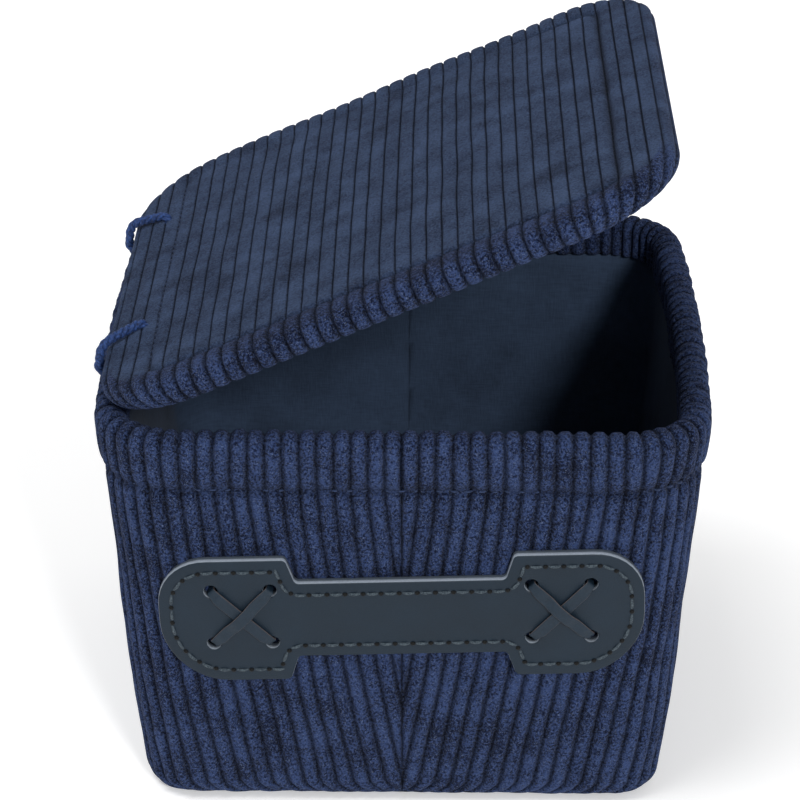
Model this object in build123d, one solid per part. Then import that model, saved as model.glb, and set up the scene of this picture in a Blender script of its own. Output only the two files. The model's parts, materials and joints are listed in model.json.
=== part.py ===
from build123d import *

import os
from math import asin, atan2, cos, degrees, hypot, pi, radians, sin, sqrt

# A small fabric storage bin with a padded lid.
# Units are millimetres. +Z is up. The origin is the centre of the underside.
# The handle is on the -Y side, and the lid is tied along the -X side.
#
# The walls are drawn as sections with two coordinates: the inset, which is how far
# a point lies inside the rim's outline, and the height. Sections are swept round the
# outline, so every layer of a wall follows the same plan shape.

# ---- overall sizes -------------------------------------------------------
bin_width = 170.0
bin_depth = 170.0
bin_height = 118.0
corner_radius = 24.0
side_bow = 3.0

# ---- wall layers ---------------------------------------------------------
cover_thickness = 2.0
board_thickness = 1.5
lining_thickness = 0.6
base_board_thickness = 2.0
layer_gap = 0.15

# ---- wall shape ----------------------------------------------------------
foot_inset = 10.7
foot_radius = 8.0
wall_bulge = 0.75
stitch_inset = 2.2
rim_band_height = 17.0
band_bulge = 0.5
hem_depth = 12.0
board_corner_margin = 2.0
board_top_margin = 1.5
base_seam_gap = 0.1
thread_radius = 0.35
thread_gap = 0.05

# ---- lid -----------------------------------------------------------------
lid_thickness = 8.0
lid_corner_radius = 30.0
lid_end_overhang = 1.0
lid_free_overhang = 1.3
lid_hinge_setback = 3.3
lid_rest_angle = 24.0
lid_rim_clearance = 0.4
lid_cover_thickness = 1.8
lid_lining_thickness = 0.6
lid_board_thickness = 1.6
lid_turn_under = 7.0
crease_inset_sides = 16.5
crease_inset_ends = 12.5
crease_width = 1.4
crease_depth = 1.0
smallest_corner = 2.0

# ---- lid hinge cords -----------------------------------------------------
cord_diameter = 2.8
cord_hole_clearance = 0.4
cord_lid_inset = 13.0
cord_wall_drop = 6.0
cord_bend_radius = 2.2
cord_knot_radius = 2.6
cord_stand_off = 0.35
# how far round the rolled rim, up from its widest line, each loop comes out of the cloth
cord_exit_angle = 50.0
# lid hole's place along the edge, and how far the loop slants for each step outwards
hinge_cords = {"front": (-37.0, -0.45), "rear": (42.0, 0.45)}

# ---- handle --------------------------------------------------------------
handle_end_margin = 19.3
handle_drop = 54.2
handle_skew = 1.8
strap_width = 23.2
tab_width = 38.2
tab_length = 35.0
tab_upper_corner = 14.0
tab_lower_corner = 18.5
shoulder_slope = 2.4
leather_thickness = 1.6
backing_thickness = 1.2
handle_wall_gap = 0.3
stitch_length = 3.6
stitch_pitch = 4.9
stitch_edge_inset = 3.5
stitch_width = 0.7
stitch_rise = 0.3

# ---- handle laces --------------------------------------------------------
lace_end_inset = 22.5
lace_spacing_x = 16.0
lace_spacing_y = 16.6
lace_rise = 1.3
lace_hole_diameter = 3.8
lace_leg_clearance = 0.2
lace_width = 3.4
lace_thickness = 0.8
lace_gap = 0.1

# ---- derived sizes -------------------------------------------------------
half_width = bin_width / 2
half_depth = bin_depth / 2
to_board = cover_thickness + layer_gap
to_lining = to_board + board_thickness + layer_gap
to_hem = to_lining + lining_thickness + layer_gap
hem_inset = stitch_inset + to_hem
rim_roll_width = hem_inset + cover_thickness
rim_roll_radius = rim_roll_width / 2
rim_roll_height = bin_height - rim_roll_radius
stitch_height = bin_height - rim_band_height
underside_inset = foot_inset + foot_radius

cord_radius = cord_diameter / 2
cord_hole_radius = cord_radius + cord_hole_clearance
wall_hole_height = bin_height - cord_wall_drop
layer_top = wall_hole_height - cord_hole_radius - board_top_margin

base_board_bottom = cover_thickness + layer_gap
lining_base_bottom = base_board_bottom + base_board_thickness + layer_gap

lid_width = bin_width + lid_free_overhang - lid_hinge_setback
lid_depth = bin_depth + 2 * lid_end_overhang
lid_half_thickness = lid_thickness / 2
hinge_x = -half_width + lid_hinge_setback + lid_half_thickness
hinge_z = bin_height + lid_half_thickness + lid_rim_clearance
lid_middle_x = hinge_x - lid_half_thickness + lid_width / 2
lid_under = hinge_z - lid_half_thickness
cord_lid_reach = cord_lid_inset - lid_half_thickness

handle_length = bin_width - 2 * handle_end_margin
handle_height = bin_height - handle_drop
handle_top = backing_thickness + leather_thickness
lace_middle = handle_length / 2 - lace_end_inset
lace_hole_radius = lace_hole_diameter / 2


# ---- outline and sections ------------------------------------------------
def side_arc():
    """Centre x and radius of the left side's bowed arc, and the corner arc's centre x and turn."""
    radius = (half_depth**2 + side_bow**2) / (2 * side_bow)
    corner_y = half_depth - corner_radius
    reach = sqrt((radius - corner_radius) ** 2 - corner_y**2)
    return radius - half_width, radius, half_width - radius + reach, atan2(corner_y, reach)


def half_outline(inset=0.0):
    """The outline's left half, from the middle of the front to the middle of the back."""
    arc_x, arc_radius, corner_x, turn = side_arc()
    corner_y = half_depth - corner_radius
    radius = corner_radius - inset
    front = half_depth - inset
    half_turn = (pi / 2 + turn) / 2

    def on_corner(angle, side):
        return -corner_x - radius * cos(angle), side * (corner_y + radius * sin(angle))

    return Wire(
        [
            Line((0, -front), (-corner_x, -front)),
            ThreePointArc((-corner_x, -front), on_corner(half_turn, -1), on_corner(turn, -1)),
            ThreePointArc(on_corner(turn, -1), (arc_x - arc_radius + inset, 0), on_corner(turn, 1)),
            ThreePointArc(on_corner(turn, 1), on_corner(half_turn, 1), (-corner_x, front)),
            Line((-corner_x, front), (0, front)),
        ]
    )


def right_half(shape):
    return mirror(shape, about=Plane.YZ)


def floor_plate(inset, bottom, thickness):
    """A flat plate with the outline's shape at an inset."""
    seam = Line((0, half_depth - inset), (0, inset - half_depth))
    left = extrude(make_face(half_outline(inset).edges() + seam.edges()), amount=thickness)
    return Pos(0, 0, bottom) * (left + right_half(left))


def section_face(curves):
    return make_face([edge for curve in curves for edge in curve.edges()])


def front_section(curves):
    """A section that stands on the middle of the front."""
    plane = Plane(origin=(0, -half_depth, 0), x_dir=(0, 1, 0), z_dir=(1, 0, 0))
    return plane * section_face(curves)


def left_section(curves):
    """A section that stands on the middle of the left side."""
    plane = Plane(origin=(-half_width, 0, 0), x_dir=(1, 0, 0), z_dir=(0, -1, 0))
    return plane * section_face(curves)


def swept_half(curves):
    return sweep(front_section(curves), path=half_outline())


def wall_middle(depth):
    """The wall's middle point at a depth into it, which bulges a little outwards."""
    inset = (foot_inset + stitch_inset) / 2 - wall_bulge
    return inset + depth, (foot_radius + stitch_height) / 2


def wall_arc(depth):
    """The wall's profile from its foot to the stitch line, at a depth into it."""
    return ThreePointArc(
        (foot_inset + depth, foot_radius), wall_middle(depth), (stitch_inset + depth, stitch_height)
    )


def foot_arc(radius):
    """The rounded foot, from the underside up to the wall."""
    slant = radius * cos(pi / 4)
    return ThreePointArc(
        (underside_inset, foot_radius - radius),
        (underside_inset - slant, foot_radius - slant),
        (underside_inset - radius, foot_radius),
    )


def band_arc(depth):
    """The rim band's soft bulge between the stitch line and the rim's roll."""
    middle = (stitch_inset / 2 + depth - band_bulge, (stitch_height + rim_roll_height) / 2)
    return ThreePointArc((stitch_inset + depth, stitch_height), middle, (depth, rim_roll_height))


def roll_arc(radius):
    """The rim's roll, over the top from outside to inside."""
    middle = rim_roll_radius
    return ThreePointArc(
        (middle - radius, rim_roll_height),
        (middle, rim_roll_height + radius),
        (middle + radius, rim_roll_height),
    )


def cover_section():
    """Outer cloth: under the foot, up the wall, over the rim and down inside as a hem."""
    hem_bottom = bin_height - hem_depth
    return [
        foot_arc(foot_radius),
        wall_arc(0),
        band_arc(0),
        roll_arc(rim_roll_radius),
        Line((rim_roll_width, rim_roll_height), (rim_roll_width, hem_bottom)),
        Line((rim_roll_width, hem_bottom), (hem_inset, hem_bottom)),
        Line((hem_inset, hem_bottom), (hem_inset, rim_roll_height)),
        roll_arc(rim_roll_radius - cover_thickness),
        band_arc(cover_thickness),
        wall_arc(cover_thickness),
        foot_arc(foot_radius - cover_thickness),
        Line((underside_inset, 0), (underside_inset, cover_thickness)),
    ]


def layer_section(outer, thickness, bottom):
    """An inner layer of the wall, from a height at its foot up to the layers' top."""
    inner = outer + thickness
    return [
        wall_arc(outer),
        Polyline(
            (stitch_inset + outer, stitch_height),
            (stitch_inset + outer, layer_top),
            (stitch_inset + inner, layer_top),
            (stitch_inset + inner, stitch_height),
        ),
        wall_arc(inner),
        Polyline(
            (foot_inset + inner, foot_radius),
            (foot_inset + inner, bottom),
            (foot_inset + outer, bottom),
            (foot_inset + outer, foot_radius),
        ),
    ]


def clear_of_foot(height):
    """The smallest inset at which a plate at a height stays inside the foot's curve."""
    radius = foot_radius - cover_thickness
    return underside_inset - sqrt(radius**2 - (foot_radius - height) ** 2) + layer_gap


def rod(start, end, radius):
    """A round bar between two points."""
    direction = Vector(*end) - Vector(*start)
    return extrude(Plane(origin=start, z_dir=direction) * Circle(radius), amount=direction.length)


# ---- bin -----------------------------------------------------------------
def outer_covers():
    left = swept_half(cover_section())
    right = right_half(left)
    for hole in lace_wall_holes():
        left -= hole
        right -= hole
    for place, slant in hinge_cords.values():
        left -= wall_cord_hole(place, slant)
    return {"outer_cover_left": left, "outer_cover_right": right}


def wall_boards():
    """Flat boards in the front and back, and bowed ones in the sides, short of the corners."""
    arc_x, arc_radius, corner_x, turn = side_arc()
    section = layer_section(to_board, board_thickness, foot_radius - layer_gap)
    front = extrude(front_section(section), amount=corner_x - board_corner_margin, both=True)
    half_angle = degrees(turn - asin(board_corner_margin / arc_radius))
    axis = Axis((arc_x, 0, 0), (0, 0, 1))
    start = left_section(section).rotate(axis, -half_angle)
    left = revolve(start, axis=axis, revolution_arc=2 * half_angle)
    return {
        "wall_board_front": front,
        "wall_board_back": mirror(front, about=Plane.XZ),
        "wall_board_left": left,
        "wall_board_right": right_half(left),
    }


def linings():
    left = swept_half(layer_section(to_lining, lining_thickness, lining_base_bottom))
    base_inset = foot_inset + to_hem
    return {
        "lining_left": left,
        "lining_right": right_half(left),
        "lining_base": floor_plate(base_inset, lining_base_bottom, lining_thickness),
    }


def base():
    board_inset = clear_of_foot(base_board_bottom)
    return {
        "base_cover": floor_plate(underside_inset + base_seam_gap, 0, cover_thickness),
        "base_board": floor_plate(board_inset, base_board_bottom, base_board_thickness),
    }


def rim_stitching():
    """A thread that lies in the pinched line under the rim band."""
    path = Pos(0, 0, stitch_height) * half_outline(stitch_inset - thread_radius - thread_gap)
    start = Plane(origin=path @ 0, z_dir=path % 0)
    half = sweep(start * Circle(thread_radius), path=path)
    return half + right_half(half)


# ---- lid -----------------------------------------------------------------
# The lid's pieces are drawn where the closed lid lies, and are then turned up
# about the hinge axis, which runs along the middle of the lid's rolled edge.
def turned_up(shape):
    return shape.rotate(Axis((hinge_x, 0, hinge_z), (0, -1, 0)), lid_rest_angle)


def lid_plate(inset_sides, inset_ends, bottom, top):
    """A plate with rounded corners, between two heights above the lid's underside."""
    corner = max(lid_corner_radius - inset_ends, smallest_corner)
    outline = RectangleRounded(lid_width - 2 * inset_sides, lid_depth - 2 * inset_ends, corner)
    return extrude(Pos(lid_middle_x, 0, lid_under + bottom) * outline, amount=top - bottom)


def soft_plate(inset, bottom, top):
    """The same plate with its edges rounded over its whole thickness."""
    plate = lid_plate(inset, inset, bottom, top)
    rims = plate.edges().group_by(Axis.Z)
    return fillet(rims[0] + rims[-1], (top - bottom) / 2 - thread_gap)


def crease_ring(half_gap, bottom, top):
    """A ring along the stitched crease, reaching half_gap to each side of it."""
    outer = lid_plate(crease_inset_sides - half_gap, crease_inset_ends - half_gap, bottom, top)
    return outer - lid_plate(crease_inset_sides + half_gap, crease_inset_ends + half_gap, bottom, top)


def lid_pieces():
    skin = lid_cover_thickness
    inside_top = lid_thickness - skin
    turn_under = lid_turn_under + layer_gap
    cover = soft_plate(0, 0, lid_thickness) - soft_plate(skin, skin, inside_top)
    cover -= lid_plate(lid_turn_under, lid_turn_under, -skin, 2 * skin)
    cover -= crease_ring(crease_width / 2, lid_thickness - crease_depth, lid_thickness)
    lining = lid_plate(turn_under, turn_under, 0, lid_lining_thickness)

    inner_sides = crease_inset_sides + crease_width / 2
    inner_ends = crease_inset_ends + crease_width / 2
    board_bottom = skin + layer_gap
    board_top = board_bottom + lid_board_thickness
    foam_top = inside_top - layer_gap
    board = lid_plate(inner_sides, inner_ends, board_bottom, board_top)
    foam = lid_plate(inner_sides, inner_ends, board_top + layer_gap, foam_top)
    filler = soft_plate(skin + layer_gap, board_bottom, foam_top)
    filler -= lid_plate(
        crease_inset_sides - crease_width / 2, crease_inset_ends - crease_width / 2, 0, lid_thickness
    )
    thread_bottom = lid_thickness - crease_depth + thread_gap
    thread = crease_ring(thread_radius, thread_bottom, thread_bottom + 2 * thread_radius)

    pieces = {
        "lid_cover": turned_up(cover),
        "lid_lining": turned_up(lining),
        "lid_board": turned_up(board),
        "lid_foam": turned_up(foam),
        "lid_edge_filler": turned_up(filler),
        "lid_stitching": turned_up(thread),
    }
    for name in ("lid_cover", "lid_lining", "lid_edge_filler"):
        for place, slant in hinge_cords.values():
            pieces[name] -= lid_cord_hole(place, slant)
    return pieces


# ---- hinge cords ---------------------------------------------------------
def on_lid(along, up):
    """(x, z) of a point of the lid at rest: along its middle plane from the hinge axis, and up."""
    angle = radians(lid_rest_angle)
    x = hinge_x + along * cos(angle) - up * sin(angle)
    return x, hinge_z + along * sin(angle) + up * cos(angle)


def knot_x():
    return -half_width + rim_roll_width + cord_knot_radius + 2 * cord_stand_off


def cord_exit():
    """(x, z) where a loop turns upwards, just clear of the rolled rim."""
    reach = rim_roll_radius + cord_radius + cord_stand_off
    turn = radians(cord_exit_angle)
    return -half_width + rim_roll_radius - reach * cos(turn), rim_roll_height + reach * sin(turn)


def slanted(place, slant, x, z):
    """A point of a cord's loop, which slants along the edge as it goes outwards."""
    hole_x, _ = on_lid(cord_lid_reach, 0)
    return x, place + slant * (hole_x - x), z


def cord_route(place, slant):
    """Corners of a loop: knot, out of the rim, up round the lid's edge, down its hole and back."""
    clear = lid_half_thickness + cord_radius + cord_stand_off
    corners = [
        (knot_x(), wall_hole_height),
        cord_exit(),
        on_lid(-clear, clear),
        on_lid(cord_lid_reach, clear),
        on_lid(cord_lid_reach, -clear - cord_bend_radius),
    ]
    return [slanted(place, slant, x, z) for x, z in corners]


def hinge_cord(place, slant):
    """One cord loop, whose two ends meet in the knot inside the wall."""
    corners = [Vector(*corner) for corner in cord_route(place, slant)]
    knot = corners[0]
    end = knot + (corners[-1] - knot).normalized() * cord_radius
    path = FilletPolyline(*corners, end, radius=cord_bend_radius)
    start = Plane(origin=path @ 0, z_dir=path % 0)
    loop = sweep(start * Circle(cord_radius), path=path)
    return loop + Pos(knot) * Rot(90, 0, 0) * Sphere(cord_knot_radius)


def wall_cord_hole(place, slant):
    start = slanted(place, slant, *cord_exit())
    end = slanted(place, slant, knot_x(), wall_hole_height)
    return rod(start, end, cord_hole_radius)


def lid_cord_hole(place, slant):
    high = slanted(place, slant, *on_lid(cord_lid_reach, lid_thickness))
    low = slanted(place, slant, *on_lid(cord_lid_reach, -lid_thickness))
    return rod(high, low, cord_hole_radius)


# ---- handle --------------------------------------------------------------
def wall_inset_at(height):
    """The outer wall's inset at a height, on the arc that wall_arc draws."""
    x1, z1 = foot_inset, foot_radius
    x2, z2 = wall_middle(0)
    x3, z3 = stitch_inset, stitch_height
    turn = 2 * (x1 * (z2 - z3) + x2 * (z3 - z1) + x3 * (z1 - z2))
    s1, s2, s3 = x1**2 + z1**2, x2**2 + z2**2, x3**2 + z3**2
    centre_x = (s1 * (z2 - z3) + s2 * (z3 - z1) + s3 * (z1 - z2)) / turn
    centre_z = (s1 * (x3 - x2) + s2 * (x1 - x3) + s3 * (x2 - x1)) / turn
    radius = hypot(x1 - centre_x, z1 - centre_z)
    return centre_x - sqrt(radius**2 - (height - centre_z) ** 2)


def handle_plane():
    """The handle's back face: local X runs right along it, local Y up, local Z outwards."""
    low = wall_inset_at(handle_height - tab_width / 2)
    high = wall_inset_at(handle_height + tab_width / 2)
    lean = atan2(low - high, tab_width)
    inset = wall_inset_at(handle_height) - handle_wall_gap
    plane = Plane(
        origin=(0, -half_depth + inset, handle_height),
        x_dir=(1, 0, 0),
        z_dir=(0, -cos(lean), -sin(lean)),
    )
    return plane.location * Rot(0, 0, handle_skew)


def handle_outline(inset=0.0):
    """Two tabs with rounded outer corners, joined by a narrower strap."""
    end = handle_length / 2 - inset
    tab = tab_width / 2 - inset
    strap = strap_width / 2 - inset
    shoulder = handle_length / 2 - tab_length + inset
    neck = shoulder - shoulder_slope
    block = Polyline(
        (shoulder, tab), (end, tab), (end, -tab), (shoulder, -tab),
        (neck, -strap), (-neck, -strap), (-shoulder, -tab), (-end, -tab),
        (-end, tab), (-shoulder, tab), (-neck, strap), (neck, strap), close=True,
    )
    outline = make_face(block)
    for radius, which in ((tab_upper_corner, -1), (tab_lower_corner, 0)):
        ends = outline.vertices().group_by(Axis.X)
        corners = [end.sort_by(Axis.Y)[which] for end in (ends[0], ends[-1])]
        outline = fillet(corners, radius - inset)
    return outline


def lace_hole_places():
    """Centres of the lace holes on the handle: four in each tab."""
    return [
        (side * lace_middle + sx * lace_spacing_x / 2, lace_rise + sy * lace_spacing_y / 2)
        for side in (-1, 1)
        for sx in (-1, 1)
        for sy in (-1, 1)
    ]


def handle_layer(bottom, top):
    plate = extrude(Pos(0, 0, bottom) * handle_outline(), amount=top - bottom)
    for x, y in lace_hole_places():
        plate -= Pos(x, y, (bottom + top) / 2) * Cylinder(lace_hole_radius, 2 * (top - bottom))
    return handle_plane() * plate


def lace_wall_holes():
    depth = 2 * (handle_wall_gap + cover_thickness + layer_gap)
    drill = Cylinder(lace_hole_radius, depth)
    return [handle_plane() * (Pos(x, y, 0) * drill) for x, y in lace_hole_places()]


def handle_stitching():
    """Short raised stitches, evenly spaced along a line inside the handle's edge."""
    line = handle_outline(stitch_edge_inset).faces()[0].outer_wire()
    count = round(line.length / stitch_pitch)
    stitches = []
    for index in range(count):
        spot = line @ ((index + 0.5) / count)
        along = line % ((index + 0.5) / count)
        turn = degrees(atan2(along.Y, along.X))
        stitch = Box(stitch_length, stitch_width, stitch_rise)
        place = Pos(spot.X, spot.Y, handle_top + stitch_rise / 2) * Rot(0, 0, turn)
        stitches.append(handle_plane() * (place * stitch))
    return Compound(children=stitches)


def lace(side, slope, layer):
    """A flat lace across one tab, with a leg at each end through the handle and the cloth."""
    bottom = handle_top + stitch_rise + lace_gap + layer * (lace_thickness + lace_gap)
    leg_bottom = -handle_wall_gap - cover_thickness
    run = hypot(lace_spacing_x, lace_spacing_y)
    turn = slope * degrees(atan2(lace_spacing_y, lace_spacing_x))
    middle = Pos(side * lace_middle, lace_rise, bottom + lace_thickness / 2) * Rot(0, 0, turn)
    strip = middle * Box(run + lace_hole_diameter, lace_width, lace_thickness)
    leg = Cylinder(lace_hole_radius - lace_leg_clearance, bottom - leg_bottom)
    for end in (-1, 1):
        x = side * lace_middle + end * lace_spacing_x / 2
        y = lace_rise + slope * end * lace_spacing_y / 2
        strip += Pos(x, y, (bottom + leg_bottom) / 2) * leg
    return handle_plane() * strip


def handle_pieces():
    """The left tab's upper lace rises to the right, and the right tab's falls."""
    return {
        "handle_backing": handle_layer(0, backing_thickness),
        "handle_strap": handle_layer(backing_thickness, handle_top),
        "handle_stitching": handle_stitching(),
        "handle_lace_left_under": lace(-1, -1, 0),
        "handle_lace_left_over": lace(-1, 1, 1),
        "handle_lace_right_under": lace(1, 1, 0),
        "handle_lace_right_over": lace(1, -1, 1),
    }


# ---- all nodes -----------------------------------------------------------
nodes = {
    **outer_covers(),
    "rim_stitching": rim_stitching(),
    **wall_boards(),
    **linings(),
    **base(),
    **handle_pieces(),
    **{f"hinge_cord_{name}": hinge_cord(*where) for name, where in hinge_cords.items()},
    **lid_pieces(),
}

os.makedirs("parts", exist_ok=True)
for name, shape in nodes.items():
    export_step(shape, f"parts/{name}.step")
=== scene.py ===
"""A small ribbed cloth storage bin with a padded lid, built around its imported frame."""

import json
import math

import bmesh
import bpy
import numpy as np
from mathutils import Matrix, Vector
from mathutils.geometry import delaunay_2d_cdt


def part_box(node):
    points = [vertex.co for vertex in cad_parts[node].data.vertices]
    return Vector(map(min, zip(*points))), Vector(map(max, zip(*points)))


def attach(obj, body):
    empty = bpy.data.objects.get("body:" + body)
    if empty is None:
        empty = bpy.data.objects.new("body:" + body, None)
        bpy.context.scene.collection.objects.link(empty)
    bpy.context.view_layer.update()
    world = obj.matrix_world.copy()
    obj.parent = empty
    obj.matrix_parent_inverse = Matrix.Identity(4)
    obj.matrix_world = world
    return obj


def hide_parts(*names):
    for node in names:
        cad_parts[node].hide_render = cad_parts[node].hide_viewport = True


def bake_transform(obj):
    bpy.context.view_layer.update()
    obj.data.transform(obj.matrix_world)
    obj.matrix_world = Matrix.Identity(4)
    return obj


bl_info = {
    "name": "Ribbed storage bin",
    "version": (1, 0, 0),
    "blender": (4, 5, 0),
    "location": "3D View > Sidebar > Storage bin",
    "description": "Builds a ribbed cloth storage bin with a padded lid and a laced leather pull",
    "category": "Add Mesh",
}

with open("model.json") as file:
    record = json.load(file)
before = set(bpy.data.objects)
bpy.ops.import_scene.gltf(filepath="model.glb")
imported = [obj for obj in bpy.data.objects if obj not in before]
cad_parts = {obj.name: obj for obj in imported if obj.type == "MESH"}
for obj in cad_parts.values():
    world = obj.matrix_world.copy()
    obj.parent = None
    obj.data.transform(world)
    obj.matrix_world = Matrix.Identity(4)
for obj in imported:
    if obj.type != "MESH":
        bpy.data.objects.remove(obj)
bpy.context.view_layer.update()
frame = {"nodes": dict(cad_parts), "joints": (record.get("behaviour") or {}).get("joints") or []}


def node_box(*nodes):
    """Lowest and highest corner of some frame nodes together, as arrays in metres."""
    boxes = [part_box(node) for node in nodes]
    low = np.min([np.array(box[0]) for box in boxes], axis=0)
    high = np.max([np.array(box[1]) for box in boxes], axis=0)
    return low, high


cover_low, cover_high = node_box("outer_cover_left", "outer_cover_right")
hinge = frame["joints"][0]
hinge_place = np.array(hinge["pos_m"])
rest_angle = math.radians(-hinge["range_deg"][0])
lid_low, lid_high = node_box("lid_cover")
strap_low, strap_high = node_box("handle_strap")


def length(name, description, default):
    return bpy.props.FloatProperty(
        name=name, description=description, default=default, unit="LENGTH", precision=5
    )


def amount(name, description, default):
    return bpy.props.FloatProperty(name=name, description=description, default=default)


def angle(name, description, default):
    return bpy.props.FloatProperty(
        name=name, description=description, default=math.radians(default), unit="ROTATION"
    )


def colour(name, description, default):
    return bpy.props.FloatVectorProperty(
        name=name, description=description, default=default, subtype="COLOR", size=3
    )


# ---- settings -------------------------------------------------------------
class ClothSizes(bpy.types.PropertyGroup):
    rib_pitch: length("Rib pitch", "Distance from one rib of the cloth to the next", 0.0045)
    rib_depth: length("Rib depth", "Depth of the grooves between ribs", 0.0011)
    groove_width: length("Groove width", "Half width of the walls' grooves between ribs", 0.00062)
    lid_groove: length("Lid groove width", "Half width of the lid's grooves between ribs", 0.00030)
    thickness: length("Cloth thickness", "Thickness of the ribbed cloth, ribs included", 0.0019)
    wander: length("Rib wander", "How far the ribs wander sideways", 0.0002)
    dents: length("Dents", "Height of the soft dents in the walls", 0.0005)
    pinch: length("Seam pinch", "How deep the seam under the rim pulls the cloth in", 0.0008)
    lid_rib_depth: length("Lid rib depth", "Depth of the lid's grooves between ribs", 0.0009)


class BinSizes(bpy.types.PropertyGroup):
    width: length("Width", "Width over the rim", float(cover_high[0] - cover_low[0]))
    depth: length("Depth", "Depth over the rim", float(cover_high[1] - cover_low[1]))
    height: length("Height", "Height of the rim", float(cover_high[2]))
    corner: length("Corner radius", "Radius of the rim's corners", 0.024)
    bow: length("Side bow", "How far the sides bow out at their middles", 0.003)
    foot_inset: length("Foot inset", "How far the wall's foot lies inside the rim", 0.0107)
    foot_radius: length("Foot radius", "Radius of the rounded foot", 0.008)
    wall_bulge: length("Wall bulge", "How far the wall bulges at half its height", 0.00075)
    stitch_inset: length("Stitch inset", "Inset of the seam under the rim", 0.0022)
    band: length("Rim band", "Height from the seam up to the rim", 0.017)
    band_bulge: length("Band bulge", "How far the rim band bulges", 0.0005)
    roll: length("Rim thickness", "Thickness of the rolled rim", 0.00875)
    hem: length("Hem", "How far the cloth turns down inside the rim", 0.012)
    lining_gap: length("Lining depth", "Distance from the outer face to the lining", 0.0038)
    lining_thickness: length("Lining thickness", "Thickness of the lining cloth", 0.0006)
    lining_top: length("Lining top", "Height of the lining's upper edge", 0.1088)


class LidSizes(bpy.types.PropertyGroup):
    thickness: length("Thickness", "Thickness of the padded lid", 0.008)
    depth: length("Depth", "Depth of the lid", float(lid_high[1] - lid_low[1]))
    corner: length("Corner radius", "Radius of the lid's corners", 0.030)
    crease_sides: length("Side crease", "Inset of the sewn crease from the sides", 0.0165)
    crease_ends: length("End crease", "Inset of the sewn crease from the front and back", 0.0125)
    crease_corner: length("Crease corner", "Radius of the sewn crease's corners", 0.006)
    crease_depth: length("Crease depth", "Depth of the sewn crease", 0.0011)
    crease_width: length("Crease width", "Half width of the sewn crease", 0.0011)
    crown: length("Crown", "How far the middle of the pad stands up", 0.0008)
    turn_under: length("Turn under", "Width of the cloth turned under the lid", 0.007)
    skin: length("Skin", "Thickness of the lid's cloth", 0.0017)


class CordSizes(bpy.types.PropertyGroup):
    diameter: length("Diameter", "Diameter of the twisted cord", 0.0028)
    lay: length("Lay", "Length of one full twist of the strands", 0.0062)
    lid_inset: length("Lid hole inset", "Distance of the lid's hole from its edge", 0.013)
    wall_drop: length("Wall hole drop", "Distance of the wall's hole below the rim", 0.006)
    knot: length("Knot radius", "Radius of the knot inside the wall", 0.0026)
    stand_off: length("Stand-off", "Clearance between the cord and the cloth", 0.00035)
    exit_angle: angle("Exit angle", "How far up the rolled rim the cord comes out", 58.0)
    front: length("Front cord", "Place of the front cord's lid hole", -0.037)
    rear: length("Rear cord", "Place of the rear cord's lid hole", 0.042)
    slant: amount("Slant", "How far the loops slant apart for each step outwards", 0.45)


class HandleSizes(bpy.types.PropertyGroup):
    length: length("Length", "Length of the pull", float(strap_high[0] - strap_low[0]))
    tab_width: length("Tab width", "Height of the two end tabs", 0.0382)
    tab_length: length("Tab length", "Length of each end tab", 0.035)
    tab_upper: length("Tab upper corner", "Radius of the tabs' upper outer corners", 0.014)
    tab_lower: length("Tab lower corner", "Radius of the tabs' lower outer corners", 0.0185)
    strap_width: length("Strap width", "Height of the strap between the tabs", 0.0232)
    shoulder_slope: length("Shoulder slope", "How far the tab's inner edge slopes", 0.0024)
    shoulder_round: length("Shoulder radius", "Radius of the tabs' inner corners", 0.0016)
    skew: angle("Skew", "How far the pull is turned on the wall", 1.8)
    backing: length("Backing thickness", "Thickness of the backing layer", 0.0012)
    leather: length("Leather thickness", "Thickness of the leather", 0.0016)
    stitch_inset: length("Stitch inset", "Distance of the stitches from the edge", 0.0035)
    stitch_pitch: length("Stitch pitch", "Distance from one stitch to the next", 0.0049)
    stitch_length: length("Stitch length", "Length of the visible part of a stitch", 0.0039)
    hole_inset: length("Lace inset", "Distance of each cross from the pull's end", 0.0225)
    hole_rise: length("Lace rise", "How far the crosses stand above the pull's middle", 0.0013)
    hole_x: length("Hole spacing along", "Spacing of the lace holes along the pull", 0.016)
    hole_y: length("Hole spacing up", "Spacing of the lace holes up the pull", 0.0166)
    hole: length("Hole diameter", "Diameter of the lace holes", 0.0038)
    lace_width: length("Lace width", "Width of the flat laces", 0.0034)
    lace_thickness: length("Lace thickness", "Thickness of the flat laces", 0.0009)


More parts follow.
